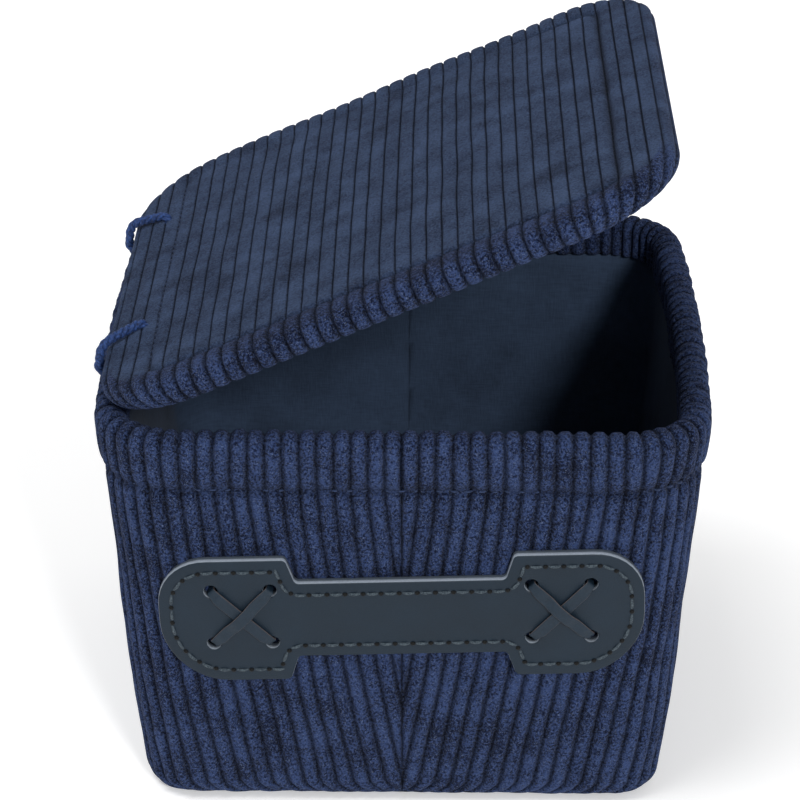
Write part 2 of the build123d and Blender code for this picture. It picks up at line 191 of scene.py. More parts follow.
class Colours(bpy.types.PropertyGroup):
    rib_dark: colour("Rib shade", "Dark tone of the ribbed cloth", (0.0045, 0.0072, 0.022))
    rib_light: colour("Rib light", "Light tone of the ribbed cloth", (0.033, 0.055, 0.138))
    rib_speck: colour("Rib specks", "Colour of stray light fibres", (0.17, 0.21, 0.31))
    # Light tone of the brushed lid panel: partly its own tone, partly painted sheen that is lighter where
    # the lid faces up.
    nap_and_sheen: colour("Brushed nap", "Light tone of the brushed lid panel", (0.048, 0.076, 0.148))
    nap_dark: colour("Nap shade", "Dark tone of the brushed lid panel", (0.009, 0.015, 0.034))
    lining: colour("Lining", "Colour of the lining cloth", (0.028, 0.045, 0.080))
    base: colour("Base cloth", "Colour of the cloth under the bin", (0.018, 0.024, 0.040))
    thread: colour("Thread", "Colour of the sewing thread", (0.020, 0.035, 0.085))
    cord_dark: colour("Cord shade", "Dark tone of the twisted cord", (0.005, 0.012, 0.042))
    cord_light: colour("Cord light", "Light tone of the twisted cord", (0.030, 0.072, 0.23))
    leather: colour("Leather", "Colour of the pull", (0.0075, 0.0165, 0.028))
    # Pale cut edge: partly the edge's own colour, partly a painted highlight for the lit top edge.
    cut_edge_and_highlight: colour("Cut edge", "Colour of the leather's cut edge", (0.36, 0.41, 0.48))
    # Light tone of the pull's thread: painted glints on a thread about as dark as the leather.
    leather_thread_and_glints: colour("Leather thread", "Light tone of the pull's thread", (0.075, 0.098, 0.115))
    raw_edge: colour("Raw lace edge", "Colour of the laces' raw edges", (0.11, 0.085, 0.08))
    card: colour("Card", "Colour of the stiffening card", (0.35, 0.26, 0.17))
    wadding: colour("Wadding", "Colour of the lid's padding", (0.75, 0.73, 0.68))
    floor: colour("Floor", "Colour of the floor", (0.94, 0.94, 0.94))


class StageSizes(bpy.types.PropertyGroup):
    yaw: angle("Camera yaw", "How far the camera is turned from the bin's front", -0.83)
    pitch: angle("Camera pitch", "How far the camera looks down", 24.366)
    distance: length("Camera distance", "Distance from the camera to its target", 0.93847)
    aim_side: length("Aim sideways", "How far the camera stands to the side", -0.00165)
    aim_height: length("Aim height", "Height of the point the camera looks at", 0.09066)
    lens: bpy.props.FloatProperty(
        name="Lens", description="Focal length of the camera", default=145.4, subtype="DISTANCE_CAMERA"
    )
    key: amount("Key light", "Strength of the key light", 1.7)
    key_softness: angle("Key softness", "How wide the key light looks from the bin", 9.0)
    top: amount("Top light", "Strength of the light from above", 1.3)
    top_softness: angle("Top softness", "How wide the top light looks from the bin", 30.0)
    sky: amount("Surround", "Brightness of the white surround", 0.45)
    floor_glow: amount("Floor glow", "How much light the floor gives of itself", 0.28)
    floor_width: length("Floor width", "Width of the square floor", 6.0)


SETTINGS = {
    "cloth_sizes": ClothSizes,
    "bin_sizes": BinSizes,
    "lid_sizes": LidSizes,
    "cord_sizes": CordSizes,
    "handle_sizes": HandleSizes,
    "bin_colours": Colours,
    "stage_sizes": StageSizes,
}


def settings(name):
    return getattr(bpy.context.scene, name)


# ---- shader expressions ---------------------------------------------------
class Value:
    """A socket that sums and products can be written with."""

    def __init__(self, finish, socket):
        self.finish = finish
        self.socket = socket

    def calculate(self, operation, first, second, third=None):
        inputs = {0: first, 1: second}
        if third is not None:
            inputs[2] = third
        return self.finish.node("ShaderNodeMath", {"operation": operation}, inputs)

    def __add__(self, other):
        return self.calculate("ADD", self, other)

    def __radd__(self, other):
        return self.calculate("ADD", other, self)

    def __sub__(self, other):
        return self.calculate("SUBTRACT", self, other)

    def __rsub__(self, other):
        return self.calculate("SUBTRACT", other, self)

    def __mul__(self, other):
        return self.calculate("MULTIPLY", self, other)

    def __rmul__(self, other):
        return self.calculate("MULTIPLY", other, self)

    def folded(self, length):
        """Goes up and down between 0 and a length as the value grows."""
        return self.calculate("PINGPONG", self, length)

    def above(self, edge, softness):
        """0 below the edge and 1 above it, with a soft step between."""
        return self.finish.node(
            "ShaderNodeMapRange",
            {"interpolation_type": "SMOOTHSTEP"},
            {"Value": self, "From Min": edge - softness, "From Max": edge + softness},
        )


class Finish:
    """A material that is written as expressions."""

    def __init__(self, name, **shader):
        self.material = bpy.data.materials.new(name)
        self.material.use_nodes = True
        self.tree = self.material.node_tree
        self.shader = self.tree.nodes["Principled BSDF"]
        for socket, value in shader.items():
            self.put(self.shader.inputs[socket.replace("_", " ")], value)
        self.place = self.node("ShaderNodeTexCoord", {}, {}, "Object")

    def put(self, socket, value):
        if isinstance(value, Value):
            self.tree.links.new(value.socket, socket)
        elif hasattr(value, "__len__") and len(socket.default_value) == 4 and len(value) == 3:
            socket.default_value = (*value, 1.0)
        else:
            socket.default_value = value

    def node(self, kind, node_settings, inputs, output=0):
        made = self.tree.nodes.new(kind)
        for name, value in node_settings.items():
            setattr(made, name, value)
        for socket, value in inputs.items():
            self.put(made.inputs[socket], value)
        return Value(self, made.outputs[output])

    def noise(self, scale, detail=2.0, roughness=0.5, place=None):
        inputs = {"Vector": place or self.place, "Scale": scale, "Detail": detail, "Roughness": roughness}
        return self.node("ShaderNodeTexNoise", {}, inputs)

    def stretched(self, x, y, z):
        """The place, scaled along each axis, for streaks."""
        inputs = {0: self.place, 1: (x, y, z)}
        return self.node("ShaderNodeVectorMath", {"operation": "MULTIPLY"}, inputs)

    def attribute(self, name):
        return self.node("ShaderNodeAttribute", {"attribute_name": name}, {}, "Fac")

    def mix(self, share, first, second):
        inputs = {0: share, 6: first, 7: second}
        return self.node("ShaderNodeMix", {"data_type": "RGBA"}, inputs, 2)

    def darken(self, base, share):
        """A colour times a grey share."""
        grey = self.node("ShaderNodeCombineColor", {}, {"Red": share, "Green": share, "Blue": share})
        inputs = {0: 1.0, 6: base, 7: grey}
        return self.node("ShaderNodeMix", {"data_type": "RGBA", "blend_type": "MULTIPLY"}, inputs, 2)

    def paint(self, base_colour, height, distance, strength=1.0, roughness=None):
        """Sets the colour and the bump, and the roughness where it varies."""
        self.put(self.shader.inputs["Base Color"], base_colour)
        inputs = {"Height": height, "Distance": distance, "Strength": strength}
        bump = self.node("ShaderNodeBump", {}, inputs)
        self.put(self.shader.inputs["Normal"], bump)
        if roughness is not None:
            self.put(self.shader.inputs["Roughness"], roughness)
        return self.material


def ribbed_cloth():
    tones = settings("bin_colours")
    finish = Finish("ribbed_cloth", Roughness=0.95, Sheen_Weight=0.06, Sheen_Roughness=0.4)
    finish.put(finish.shader.inputs["Sheen Tint"], (0.55, 0.65, 1.0))
    finish.put(finish.shader.inputs["Specular IOR Level"], 0.07)
    # The brushed panel's value: its own flatter ribs and tone, plus painted sheen where the lid faces up.
    nap_and_sheen = finish.attribute("nap_and_sheen")
    # The seam value: painted shade in the sewn seams and in the lid's crease.
    seam = finish.attribute("seam")
    patches = finish.noise(85.0, 3.0, 0.6)
    tufts = finish.noise(1500.0, 3.0, 0.65)
    fibres = finish.noise(3600.0, 2.0, 0.6)
    across = finish.attribute("rib").folded(0.5)
    ragged = across + (tufts - 0.5) * (0.42 - nap_and_sheen * 0.33)
    # The rib shapes below feed the bump and also paint shade: darker in the grooves and towards each rounded
    # rib's edges.
    pile_rib = ragged.above(0.12, 0.11)
    nap_rib = ragged.above(0.055, 0.03)
    crown = across.above(0.19, 0.2)
    rib = (pile_rib * 0.6 + crown * 0.4) * (1 - nap_and_sheen) + nap_rib * nap_and_sheen
    share = (tufts - 0.5) * 5.0 + (patches - 0.5) * 2.2 + 0.5
    pile = finish.mix(share, tones.rib_dark, tones.rib_light)
    brushed = finish.mix((tufts - 0.5) * 2.4 + (patches - 0.5) * 1.8 + 0.5, tones.nap_dark, tones.nap_and_sheen)
    tone = finish.mix(nap_and_sheen, pile, brushed)
    specks = fibres.above(0.63, 0.03) * (1 - nap_and_sheen * 0.8)
    tone = finish.mix(specks * 0.5, tone, tones.rib_speck)
    # Painted shade: darker in the grooves, across the ribs' rounded sides, and in the seams and crease.
    tone = finish.darken(tone, (rib * 0.72 + 0.28) * (1 - seam * 0.75))
    return finish.paint(tone, tufts * 0.8 + fibres * 0.4 + rib * 0.5, 0.0008, 0.9)


def woven_cloth(name, tone, thread_scale):
    """Plain woven cloth with crossing threads and soft patches of lighter and darker tone."""
    finish = Finish(name, Roughness=0.9, Sheen_Weight=0.03)
    finish.put(finish.shader.inputs["Specular IOR Level"], 0.15)
    warp = finish.noise(thread_scale, 1.0, 0.5, finish.stretched(1.0, 1.0, 0.12))
    weft = finish.noise(thread_scale, 1.0, 0.5, finish.stretched(0.12, 0.12, 1.0))
    patches = finish.noise(45.0, 3.0, 0.6)
    weave = warp * 0.5 + weft * 0.5
    share = (weave - 0.5) * 1.1 + (patches - 0.5) * 1.4 + 0.5
    tones = finish.mix(share, scaled(tone, 0.62), scaled(tone, 1.35))
    return finish.paint(tones, weave, 0.0003, 0.6)


def scaled(tone, share):
    """A colour with each part times a number."""
    return tuple(share * part for part in tone)


def thread(name, dark, light, twist_scale):
    """Spun yarn: streaks of light and dark fibres."""
    finish = Finish(name, Roughness=0.62, Sheen_Weight=0.04)
    finish.put(finish.shader.inputs["Specular IOR Level"], 0.2)
    fibres = finish.noise(twist_scale, 2.0, 0.6)
    fine = finish.noise(4200.0, 1.0)
    share = (fibres - 0.5) * 2.4 + (fine - 0.5) * 0.8 + 0.5
    tone = finish.mix(share, dark, light)
    # Painted shade: the needle-hole discs are made near black.
    tone = finish.darken(tone, 1 - finish.attribute("needle_hole_shade") * 0.98)
    return finish.paint(tone, fibres + fine * 0.5, 0.0003, 0.6)


def smooth_leather():
    tones = settings("bin_colours")
    finish = Finish("smooth_leather", Roughness=0.5)
    finish.put(finish.shader.inputs["Specular IOR Level"], 0.22)
    cells = finish.node(
        "ShaderNodeTexVoronoi", {"feature": "DISTANCE_TO_EDGE"}, {"Vector": finish.place, "Scale": 1500.0}
    )
    pores = finish.noise(1900.0, 3.0, 0.6)
    patches = finish.noise(70.0, 3.0, 0.55)
    edge = finish.attribute("edge")
    tone = finish.darken(tones.leather, (patches - 0.5) * 0.5 + (pores - 0.5) * 0.35 + 1.0)
    # Pale cut edges and lace-hole rims: partly their own colour, partly a painted highlight.
    tone = finish.mix(edge * ((pores - 0.5) * 0.6 + 0.8), tone, tones.cut_edge_and_highlight)
    roughness = (patches - 0.5) * 0.25 + (pores - 0.5) * 0.2 + 0.47
    return finish.paint(tone, cells.above(0.12, 0.12) * 0.6 + pores * 0.5, 0.00008, 0.5, roughness)


def lace_leather():
    tones = settings("bin_colours")
    finish = Finish("lace_leather", Roughness=0.5)
    finish.put(finish.shader.inputs["Specular IOR Level"], 0.25)
    pores = finish.noise(2100.0, 3.0, 0.65)
    creases = finish.noise(700.0, 2.0, 0.6)
    edge = finish.attribute("edge")
    tone = finish.darken(tones.leather, (pores - 0.5) * 0.6 + (creases - 0.5) * 0.5 + 1.15)
    tone = finish.mix(edge * ((pores - 0.5) * 0.9 + 0.6), tone, tones.raw_edge)
    return finish.paint(tone, pores + creases, 0.00018, 0.6)


def pressed_card():
    tones = settings("bin_colours")
    finish = Finish("pressed_card", Roughness=0.85)
    flecks = finish.noise(900.0, 4.0, 0.7)
    tone = finish.darken(tones.card, (flecks - 0.5) * 0.6 + 1.0)
    return finish.paint(tone, flecks, 0.0002, 0.5)


def soft_wadding():
    tones = settings("bin_colours")
    finish = Finish("soft_wadding", Roughness=0.95)
    fluff = finish.noise(600.0, 4.0, 0.7)
    tone = finish.darken(tones.wadding, (fluff - 0.5) * 0.3 + 1.0)
    return finish.paint(tone, fluff, 0.0004, 0.6)


def pale_floor():
    tones = settings("bin_colours")
    finish = Finish("pale_floor", Roughness=0.7, Emission_Strength=settings("stage_sizes").floor_glow)
    finish.put(finish.shader.inputs["Base Color"], tones.floor)
    finish.put(finish.shader.inputs["Emission Color"], tones.floor)
    return finish.material


def woven_lining():
    return woven_cloth("woven_lining", settings("bin_colours").lining, 2200.0)


def woven_base():
    return woven_cloth("woven_base", settings("bin_colours").base, 1500.0)


def sewing_thread():
    tone = settings("bin_colours").thread
    return thread("sewing_thread", scaled(tone, 0.6), scaled(tone, 1.5), 2400.0)


def leather_thread_and_glints():
    tones = settings("bin_colours")
    # Its light tone is painted glints on the dark thread.
    return thread("leather_thread_and_glints", tones.leather, tones.leather_thread_and_glints, 2400.0)


def twisted_cord():
    tones = settings("bin_colours")
    return thread("twisted_cord", tones.cord_dark, tones.cord_light, 1500.0)


MAKERS = {
    "ribbed_cloth": ribbed_cloth,
    "woven_lining": woven_lining,
    "woven_base": woven_base,
    "sewing_thread": sewing_thread,
    "leather_thread_and_glints": leather_thread_and_glints,
    "twisted_cord": twisted_cord,
    "smooth_leather": smooth_leather,
    "lace_leather": lace_leather,
    "pressed_card": pressed_card,
    "soft_wadding": soft_wadding,
    "pale_floor": pale_floor,
}


def material(name):
    return bpy.data.materials.get(name) or MAKERS[name]()


# ---- mesh helpers ---------------------------------------------------------
def smooth_step(value, start, end):
    share = np.clip((value - start) / (end - start), 0.0, 1.0)
    return share * share * (3.0 - 2.0 * share)


def unit(vectors):
    """Vectors with their directions kept and their lengths made 1."""
    return vectors / np.linalg.norm(vectors, axis=-1)[..., None]


def run_along(path):
    """Distance along a path to each of its points."""
    return np.concatenate([[0], np.cumsum(np.linalg.norm(np.diff(path, axis=0), axis=1))])


def walk(path, shares, ahead):
    """Places at shares of a flat path's length, and the steps from them to a little further on."""
    run = run_along(path)
    spots = shares * run[-1]
    here = np.stack([np.interp(spots, run, path[:, axis]) for axis in (0, 1)], axis=-1)
    there = np.stack([np.interp(spots + ahead, run, path[:, axis]) for axis in (0, 1)], axis=-1)
    return here, there - here


def spread(columns, *rows):
    """The values of each row, repeated over a grid with these columns."""
    return [np.meshgrid(columns, row)[1] for row in rows]


def ripple(u, v, wavelength, seed):
    """Soft irregular waves between about -1 and 1, the same each time."""
    waves = (
        np.sin((u * 1.00 + v * 0.31) * 2 * np.pi / wavelength + seed)
        + np.sin((u * -0.43 + v * 1.13) * 2 * np.pi / (wavelength * 1.37) + 2.1 * seed)
        + np.sin((u * 0.71 - v * 0.83) * 2 * np.pi / (wavelength * 0.61) + 3.7 * seed)
    )
    return waves / 2.2


def grid_faces(rows, columns, first=0, closed=False):
    """Quads of a grid of points stored row by row; a closed grid's last column meets its first."""
    across = np.arange(columns if closed else columns - 1)
    beside = (across + 1) % columns
    down = np.arange(rows - 1)[:, None] * columns + first
    faces = [down + across, down + beside, down + columns + beside, down + columns + across]
    return np.stack(faces, axis=-1).reshape(-1, 4)


def make_piece(name, points, faces, finish, body, replaced=(), attributes=None, blended=None):
    """One smooth, welded mesh that rides on a body; a blended one is only baked in place."""
    mesh = bpy.data.meshes.new(name)
    mesh.from_pydata([tuple(p) for p in np.asarray(points, float)], [], [tuple(f) for f in faces])
    for label, values in (attributes or {}).items():
        layer = mesh.attributes.new(label, "FLOAT", "POINT")
        layer.data.foreach_set("value", np.asarray(values, np.float32).ravel())
    weld = bmesh.new()
    weld.from_mesh(mesh)
    bmesh.ops.remove_doubles(weld, verts=weld.verts, dist=2e-6)
    bmesh.ops.dissolve_degenerate(weld, edges=weld.edges, dist=1e-6)
    loose = [vertex for vertex in weld.verts if not vertex.link_faces]
    bmesh.ops.delete(weld, geom=loose, context="VERTS")
    bmesh.ops.recalc_face_normals(weld, faces=weld.faces)
    weld.to_mesh(mesh)
    weld.free()
    mesh.polygons.foreach_set("use_smooth", [True] * len(mesh.polygons))
    mesh.materials.append(material(finish))
    piece = bpy.data.objects.new(name, mesh)
    bpy.context.scene.collection.objects.link(piece)
    if blended:
        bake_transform(piece)
    else:
        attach(piece, body)
    if replaced:
        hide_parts(*replaced)
    return piece


def shell(outer, inner, closed=False):
    """Points and faces of a sheet with two faces and a closed edge, from two grids of points."""
    rows, columns = outer.shape[:2]
    count = rows * columns
    points = np.concatenate([outer.reshape(-1, 3), inner.reshape(-1, 3)])
    front = grid_faces(rows, columns, 0, closed)
    back = grid_faces(rows, columns, count, closed)[:, ::-1]
    rims = [np.arange(columns), (rows - 1) * columns + np.arange(columns)]
    if closed:
        rims = [np.append(rim, rim[0]) for rim in rims]
    else:
        rims += [np.arange(rows) * columns, np.arange(rows) * columns + columns - 1]
    edges = [np.stack([rim[:-1], rim[1:], rim[1:] + count, rim[:-1] + count], axis=-1) for rim in rims]
    return points, np.concatenate([front, back, *edges])


def capped(ring, path):
    """Points and faces of a closed bar from its rings of points and the path in its middle."""
    rows, sides = ring.shape[:2]
    points = np.concatenate([ring.reshape(-1, 3), path[:1], path[-1:]])
    faces = [tuple(face) for face in grid_faces(rows, sides, 0, True)]
    last = (rows - 1) * sides
    for column in range(sides):
        beside = (column + 1) % sides
        faces.append((column, beside, rows * sides))
        faces.append((last + beside, last + column, rows * sides + 1))
    return points, faces


def tube(path, radius_across, radius_up, across, up, sides=8):
    """Points and faces of a closed bar with an oval section that follows a path."""
    turn = np.linspace(0, 2 * np.pi, sides, endpoint=False)
    ring = (
        path[:, None]
        + np.cos(turn)[None, :, None] * across[:, None] * np.asarray(radius_across).reshape(-1, 1, 1)
        + np.sin(turn)[None, :, None] * up[:, None] * np.asarray(radius_up).reshape(-1, 1, 1)
    )
    return capped(ring, path)


def joined(parts):
    """Several sets of points and faces as one."""
    points, faces, first = [], [], 0
    for part_points, part_faces in parts:
        points.append(part_points)
        faces += [tuple(int(index) + first for index in face) for face in part_faces]
        first += len(part_points)
    return np.concatenate(points), faces


def stitches(centres, along, outward, size):
    """Small rounded stitches: a centre, a direction and an outward normal for each."""
    long, wide, rise = size
    share = np.linspace(-1, 1, 9)
    taper = np.sqrt(np.clip(1.03 - share**2, 0, None))
    hump = (1 - share**2) * rise - rise * 0.55
    parts = []
    for centre, run, normal in zip(centres, unit(along), unit(outward)):
        across = np.cross(normal, run)
        path = centre + np.outer(share * long / 2, run) + np.outer(hump, normal)
        frame_across = np.repeat(across[None], len(share), axis=0)
        frame_up = np.repeat(normal[None], len(share), axis=0)
        parts.append(tube(path, taper * wide / 2, taper * rise * 0.6, frame_across, frame_up))
    return joined(parts)


# ---- stitches, in metres --------------------------------------------------
# Length, width and rise of one stitch, and of one dark disc of painted needle-hole shade.
RIM_STITCH = (0.0029, 0.0006, 0.0007)
LID_STITCH = (0.0028, 0.00055, 0.0005)
NEEDLE_HOLE_SHADE = (0.0017, 0.0012, 0.0006)
# Width and rise of the pull's stitches, whose length is a setting.
PULL_STITCH_SECTION = (0.0009, 0.0006)
SEAM_STITCH_PITCH = 0.0036


# ---- plan and wall, in metres ---------------------------------------------
# Spacing of the outer cloth's mesh rows on the walls, round the bends and at the seam.
ROW_STEP_WALL = 0.0024
ROW_STEP_BENDS = 0.0011
ROW_STEP_SEAM = 0.0008
# Where the closer rows end above the foot, begin below the rim, and lie each side of the seam.
FOOT_ROWS = 0.012
RIM_ROWS = 0.002
SEAM_ROWS = 0.004
# How far from a sewn edge the cloth first moves freely.
FREE_REACH = 0.012
# How far up and down the seam's pinch reaches.
PINCH_REACH = 0.0016
# Distances from the side seam between which the cloth rises out of it.
SEAM_LIP = (-0.0004, 0.0009)
# Heights between which the side seam and the dents begin, and between which the dents end.
SEAM_START = (0.001, 0.007)
DENT_START = (0.004, 0.02)
DENT_END = (0.1, 0.116)
# Wavelengths of the soft unevenness, and the height of the lobes along the ribs.
DENT_WAVE = 0.058
LOBE_WAVE = 0.03
WANDER_WAVE = 0.041
LOBE_HEIGHT = 0.0002
# The lining's mesh step, the depth and wavelength of its folds, and where they begin.
LINING_STEP = 0.002
FOLD_DEPTH = 0.00035
FOLD_WAVE = 0.07
FOLD_FREE = 0.004
FOLD_START = 0.015
# How far the lining's floor waves up and down, and the wavelength.
FLOOR_SAG = 0.00018
FLOOR_WAVE = 0.05


class Plan:
    """The rim's outline and its parallels, measured from the middle of the left side."""

    def __init__(self):
        sizes = settings("bin_sizes")
        half_width = sizes.width / 2
        self.half_depth = sizes.depth / 2
        self.corner = sizes.corner
        self.radius = (self.half_depth**2 + sizes.bow**2) / (2 * sizes.bow)
        self.corner_y = self.half_depth - sizes.corner
        reach = math.sqrt((self.radius - sizes.corner) ** 2 - self.corner_y**2)
        self.arc_x = self.radius - half_width
        self.corner_x = half_width - self.radius + reach
        self.turn = math.atan2(self.corner_y, reach)

    def side_length(self, inset):
        return (self.radius - inset) * self.turn

    def panel_length(self, inset):
        corner = (self.corner - inset) * (math.pi / 2 - self.turn)
        return self.side_length(inset) + corner + self.corner_x

    def place(self, along, inset, measured=None):
        """Points and normals of the left half, at a distance along it that is measured at an inset."""
        along, inset = np.broadcast_arrays(np.asarray(along, float), np.asarray(inset, float))
        measured = inset if measured is None else measured
        distance = np.abs(along)
        side = self.side_length(measured)
        round_radius = self.corner - inset
        corner = (self.corner - measured) * (math.pi / 2 - self.turn)
        on_side = distance <= side
        on_corner = ~on_side & (distance <= side + corner)
        bend = np.where(
            on_side,
            distance / (self.radius - measured),
            np.minimum(self.turn + (distance - side) / (self.corner - measured), math.pi / 2),
        )
        straight = np.clip(distance - side - corner, 0.0, self.corner_x)
        x = np.where(
            on_side,
            self.arc_x - (self.radius - inset) * np.cos(bend),
            -self.corner_x - round_radius * np.cos(bend) + np.where(on_corner, 0.0, straight),
        )
        y = np.where(
            on_side,
            (self.radius - inset) * np.sin(bend),
            self.corner_y + round_radius * np.sin(bend),
        )
        side_sign = np.where(along < 0, -1.0, 1.0)
        return x, y * side_sign, -np.cos(bend), np.sin(bend) * side_sign


def arc_through(first, middle, last, count=60):
    """Points on the circular arc through three points."""
    ax, ay = first
    bx, by = middle
    cx, cy = last
    turn = 2 * (ax * (by - cy) + bx * (cy - ay) + cx * (ay - by))
    squares = [p[0] ** 2 + p[1] ** 2 for p in (first, middle, last)]
    ox = (squares[0] * (by - cy) + squares[1] * (cy - ay) + squares[2] * (ay - by)) / turn
    oy = (squares[0] * (cx - bx) + squares[1] * (ax - cx) + squares[2] * (bx - ax)) / turn
    radius = math.hypot(ax - ox, ay - oy)
    start = math.atan2(ay - oy, ax - ox)
    through = (math.atan2(by - oy, bx - ox) - start) % (2 * math.pi)
    sweep = (math.atan2(cy - oy, cx - ox) - start) % (2 * math.pi)
    if through > sweep:
        sweep -= 2 * math.pi
    turns = start + np.linspace(0, sweep, count)
    return np.stack([ox + radius * np.cos(turns), oy + radius * np.sin(turns)], axis=-1)


def wall_curve():
    """The wall's outer face from its foot to the seam under the rim, as (inset, height)."""
    sizes = settings("bin_sizes")
    seam = sizes.height - sizes.band
    middle = ((sizes.foot_inset + sizes.stitch_inset) / 2 - sizes.wall_bulge, (sizes.foot_radius + seam) / 2)
    return arc_through((sizes.foot_inset, sizes.foot_radius), middle, (sizes.stitch_inset, seam), 200)


def cover_curve():
    """The outer cloth's section, as (inset, height) from under the foot to the hem.

    It also gives how far along the section the seam under the rim lies.
    """
    sizes = settings("bin_sizes")
    seam = sizes.height - sizes.band
    roll = sizes.roll / 2
    roll_height = sizes.height - roll
    down = np.linspace(-np.pi / 2, -np.pi, 40)
    foot_inset = sizes.foot_inset + sizes.foot_radius * (1 + np.cos(down))
    foot = np.stack([foot_inset, sizes.foot_radius * (1 + np.sin(down))], axis=-1)
    band_middle = (sizes.stitch_inset / 2 - sizes.band_bulge, (seam + roll_height) / 2)
    band = arc_through((sizes.stitch_inset, seam), band_middle, (0.0, roll_height))
    over = np.linspace(np.pi, 0, 60)
    rim = np.stack([roll + roll * np.cos(over), roll_height + roll * np.sin(over)], axis=-1)
    hem = np.array([[sizes.roll, roll_height - 0.001], [sizes.roll, sizes.height - sizes.hem]])
    wall = wall_curve()
    curve = np.concatenate([foot, wall[1:], band[1:], rim[1:], hem])
    return curve, run_along(curve)[len(foot) + len(wall) - 2]


def cover_profile():
    """Rows of the outer cloth from under the foot to the hem: inset, height, normal and more.

    Ribs keep their pitch up to the seam and run square to the rim above it, so each row
    also tells at which inset its ribs are measured.
    """
    sizes = settings("bin_sizes")
    seam = sizes.height - sizes.band
    roll = sizes.roll / 2
    curve, seam_run = cover_curve()
    run = run_along(curve)
    fine = np.linspace(0, run[-1], 3000)
    inset = np.interp(fine, run, curve[:, 0])
    height = np.interp(fine, run, curve[:, 1])
    wall = (height > FOOT_ROWS) & (height < sizes.height - roll - RIM_ROWS) & (inset < roll)
    spacing = np.where(wall, ROW_STEP_WALL, ROW_STEP_BENDS)
    spacing = np.where(np.abs(height - seam) < SEAM_ROWS, ROW_STEP_SEAM, spacing)
    rank = np.concatenate([[0], np.cumsum(np.diff(fine) / spacing[1:])])
    rows = np.interp(np.linspace(0, rank[-1], int(rank[-1]) + 1), rank, fine)
    inset = np.interp(rows, fine, inset)
    height = np.interp(rows, fine, height)
    tangent = unit(np.stack([np.gradient(inset), np.gradient(height)], axis=-1))
    measured = np.where(rows < seam_run, inset, sizes.stitch_inset)
    return inset, height, -tangent[:, 1], tangent[:, 0], measured, run[-1]


# Where the mesh's columns lie on each rib, as shares of its width.
RIB_STEPS = (0.0, 0.1, 0.26, 0.5, 0.74, 0.9)


def rib_lines(low, high, pitch):
    """Cloth coordinates of the mesh's columns: a few across each rib, more at its grooves."""
    ribs = np.arange(math.floor(low / pitch) - 1, math.ceil(high / pitch) + 1)
    lines = (ribs[:, None] + np.array(RIB_STEPS)).ravel() * pitch
    return lines[(lines >= low) & (lines <= high)]


def rib_height(cloth, pitch, groove_width, roundness):
    """0 in a groove and 1 on a rib's crown, for a cloth coordinate."""
    phase = np.mod(cloth / pitch, 1.0)
    groove = np.minimum(phase, 1 - phase) * pitch
    wall = 1 - np.exp(-((groove / groove_width) ** 2))
    return wall * (1 - roundness + roundness * np.sin(np.pi * phase))


def cover_relief(u, row_inset, row_height, edge, pitch, seed):
    """How far the cloth's outer and inner faces stand out, and how free each point is of the painted shade
    in the seams.
    """
    sizes, cloth = settings("bin_sizes"), settings("cloth_sizes")
    seam_height = sizes.height - sizes.band
    free = smooth_step(edge, 0.0, FREE_REACH)
    from_seam = (row_height - seam_height) / PINCH_REACH
    near_seam = np.exp(-(from_seam**2)) * (row_inset < sizes.roll / 2)
    side_seam = smooth_step(edge, *SEAM_LIP)
    side_seam = np.where(row_height < seam_height, side_seam, 1.0)
    side_seam = 1 - (1 - side_seam) * smooth_step(row_height, *SEAM_START)
    rib = rib_height(u, pitch, cloth.groove_width, 0.25) * side_seam
    wall = smooth_step(row_height, *DENT_START) * (1 - smooth_step(row_height, *DENT_END))
    dents = cloth.dents * ripple(u, row_height * 0.7, DENT_WAVE, seed + 1.0) * wall * free
    lobes = LOBE_HEIGHT * ripple(u * 3, row_height, LOBE_WAVE, seed) * (1 - near_seam)
    pinched = cloth.pinch * near_seam
    outer = cloth.rib_depth * (rib - 1) - pinched * (0.55 + 0.45 * rib) + dents + lobes
    inner = -cloth.thickness + dents - pinched * 0.3
    # The last value drops in the seams, where the cloth gets painted shade.
    return outer, inner, side_seam * (1 - 0.5 * near_seam)


def outer_cover(side):
    """One half of the ribbed cloth, from the underside over the rim to the hem."""
    sizes, cloth = settings("bin_sizes"), settings("cloth_sizes")
    plan = Plan()
    *profile, run = cover_profile()
    reach = plan.panel_length(sizes.stitch_inset)
    pitch = reach / round(reach / cloth.rib_pitch)
    columns = rib_lines(-reach - pitch, reach + pitch, pitch)
    u = np.meshgrid(columns, profile[0])[0]
    row_inset, row_height, inward, upward, measured = spread(columns, *profile)
    edge = plan.panel_length(measured) - np.abs(u)
    seed = 1.3 if side == "left" else 4.1
    mirror = -1.0 if side == "right" else 1.0
    wander = cloth.wander * ripple(u, row_height, WANDER_WAVE, seed)
    wander = wander * smooth_step(edge, 0.0, FREE_REACH)
    x, y, nx, ny = plan.place(u + wander, row_inset, measured)
    outer, inner, seam_shade_free = cover_relief(u, row_inset, row_height, edge, pitch, seed)

    def layer(lift):
        across = -inward * lift
        return np.stack(
            [(x + nx * across) * mirror, y + ny * across, row_height + upward * lift], axis=-1
        )

    points, faces = shell(layer(outer), layer(inner))
    # Painted shade in the seams: the seam attribute darkens the cloth there.
    seam_shade_free_faces = np.tile(seam_shade_free.ravel(), 2)
    attributes = {"seam": 1 - seam_shade_free_faces, "nap_and_sheen": np.zeros(seam_shade_free_faces.size), "rib": np.tile(u.ravel() / pitch, 2)}
    name, replaced = f"ribbed_cover_{side}", [f"outer_cover_{side}"]
    piece = make_piece(name, points, faces, "ribbed_cloth", "bin", replaced, attributes)
    2 * reach
    return piece


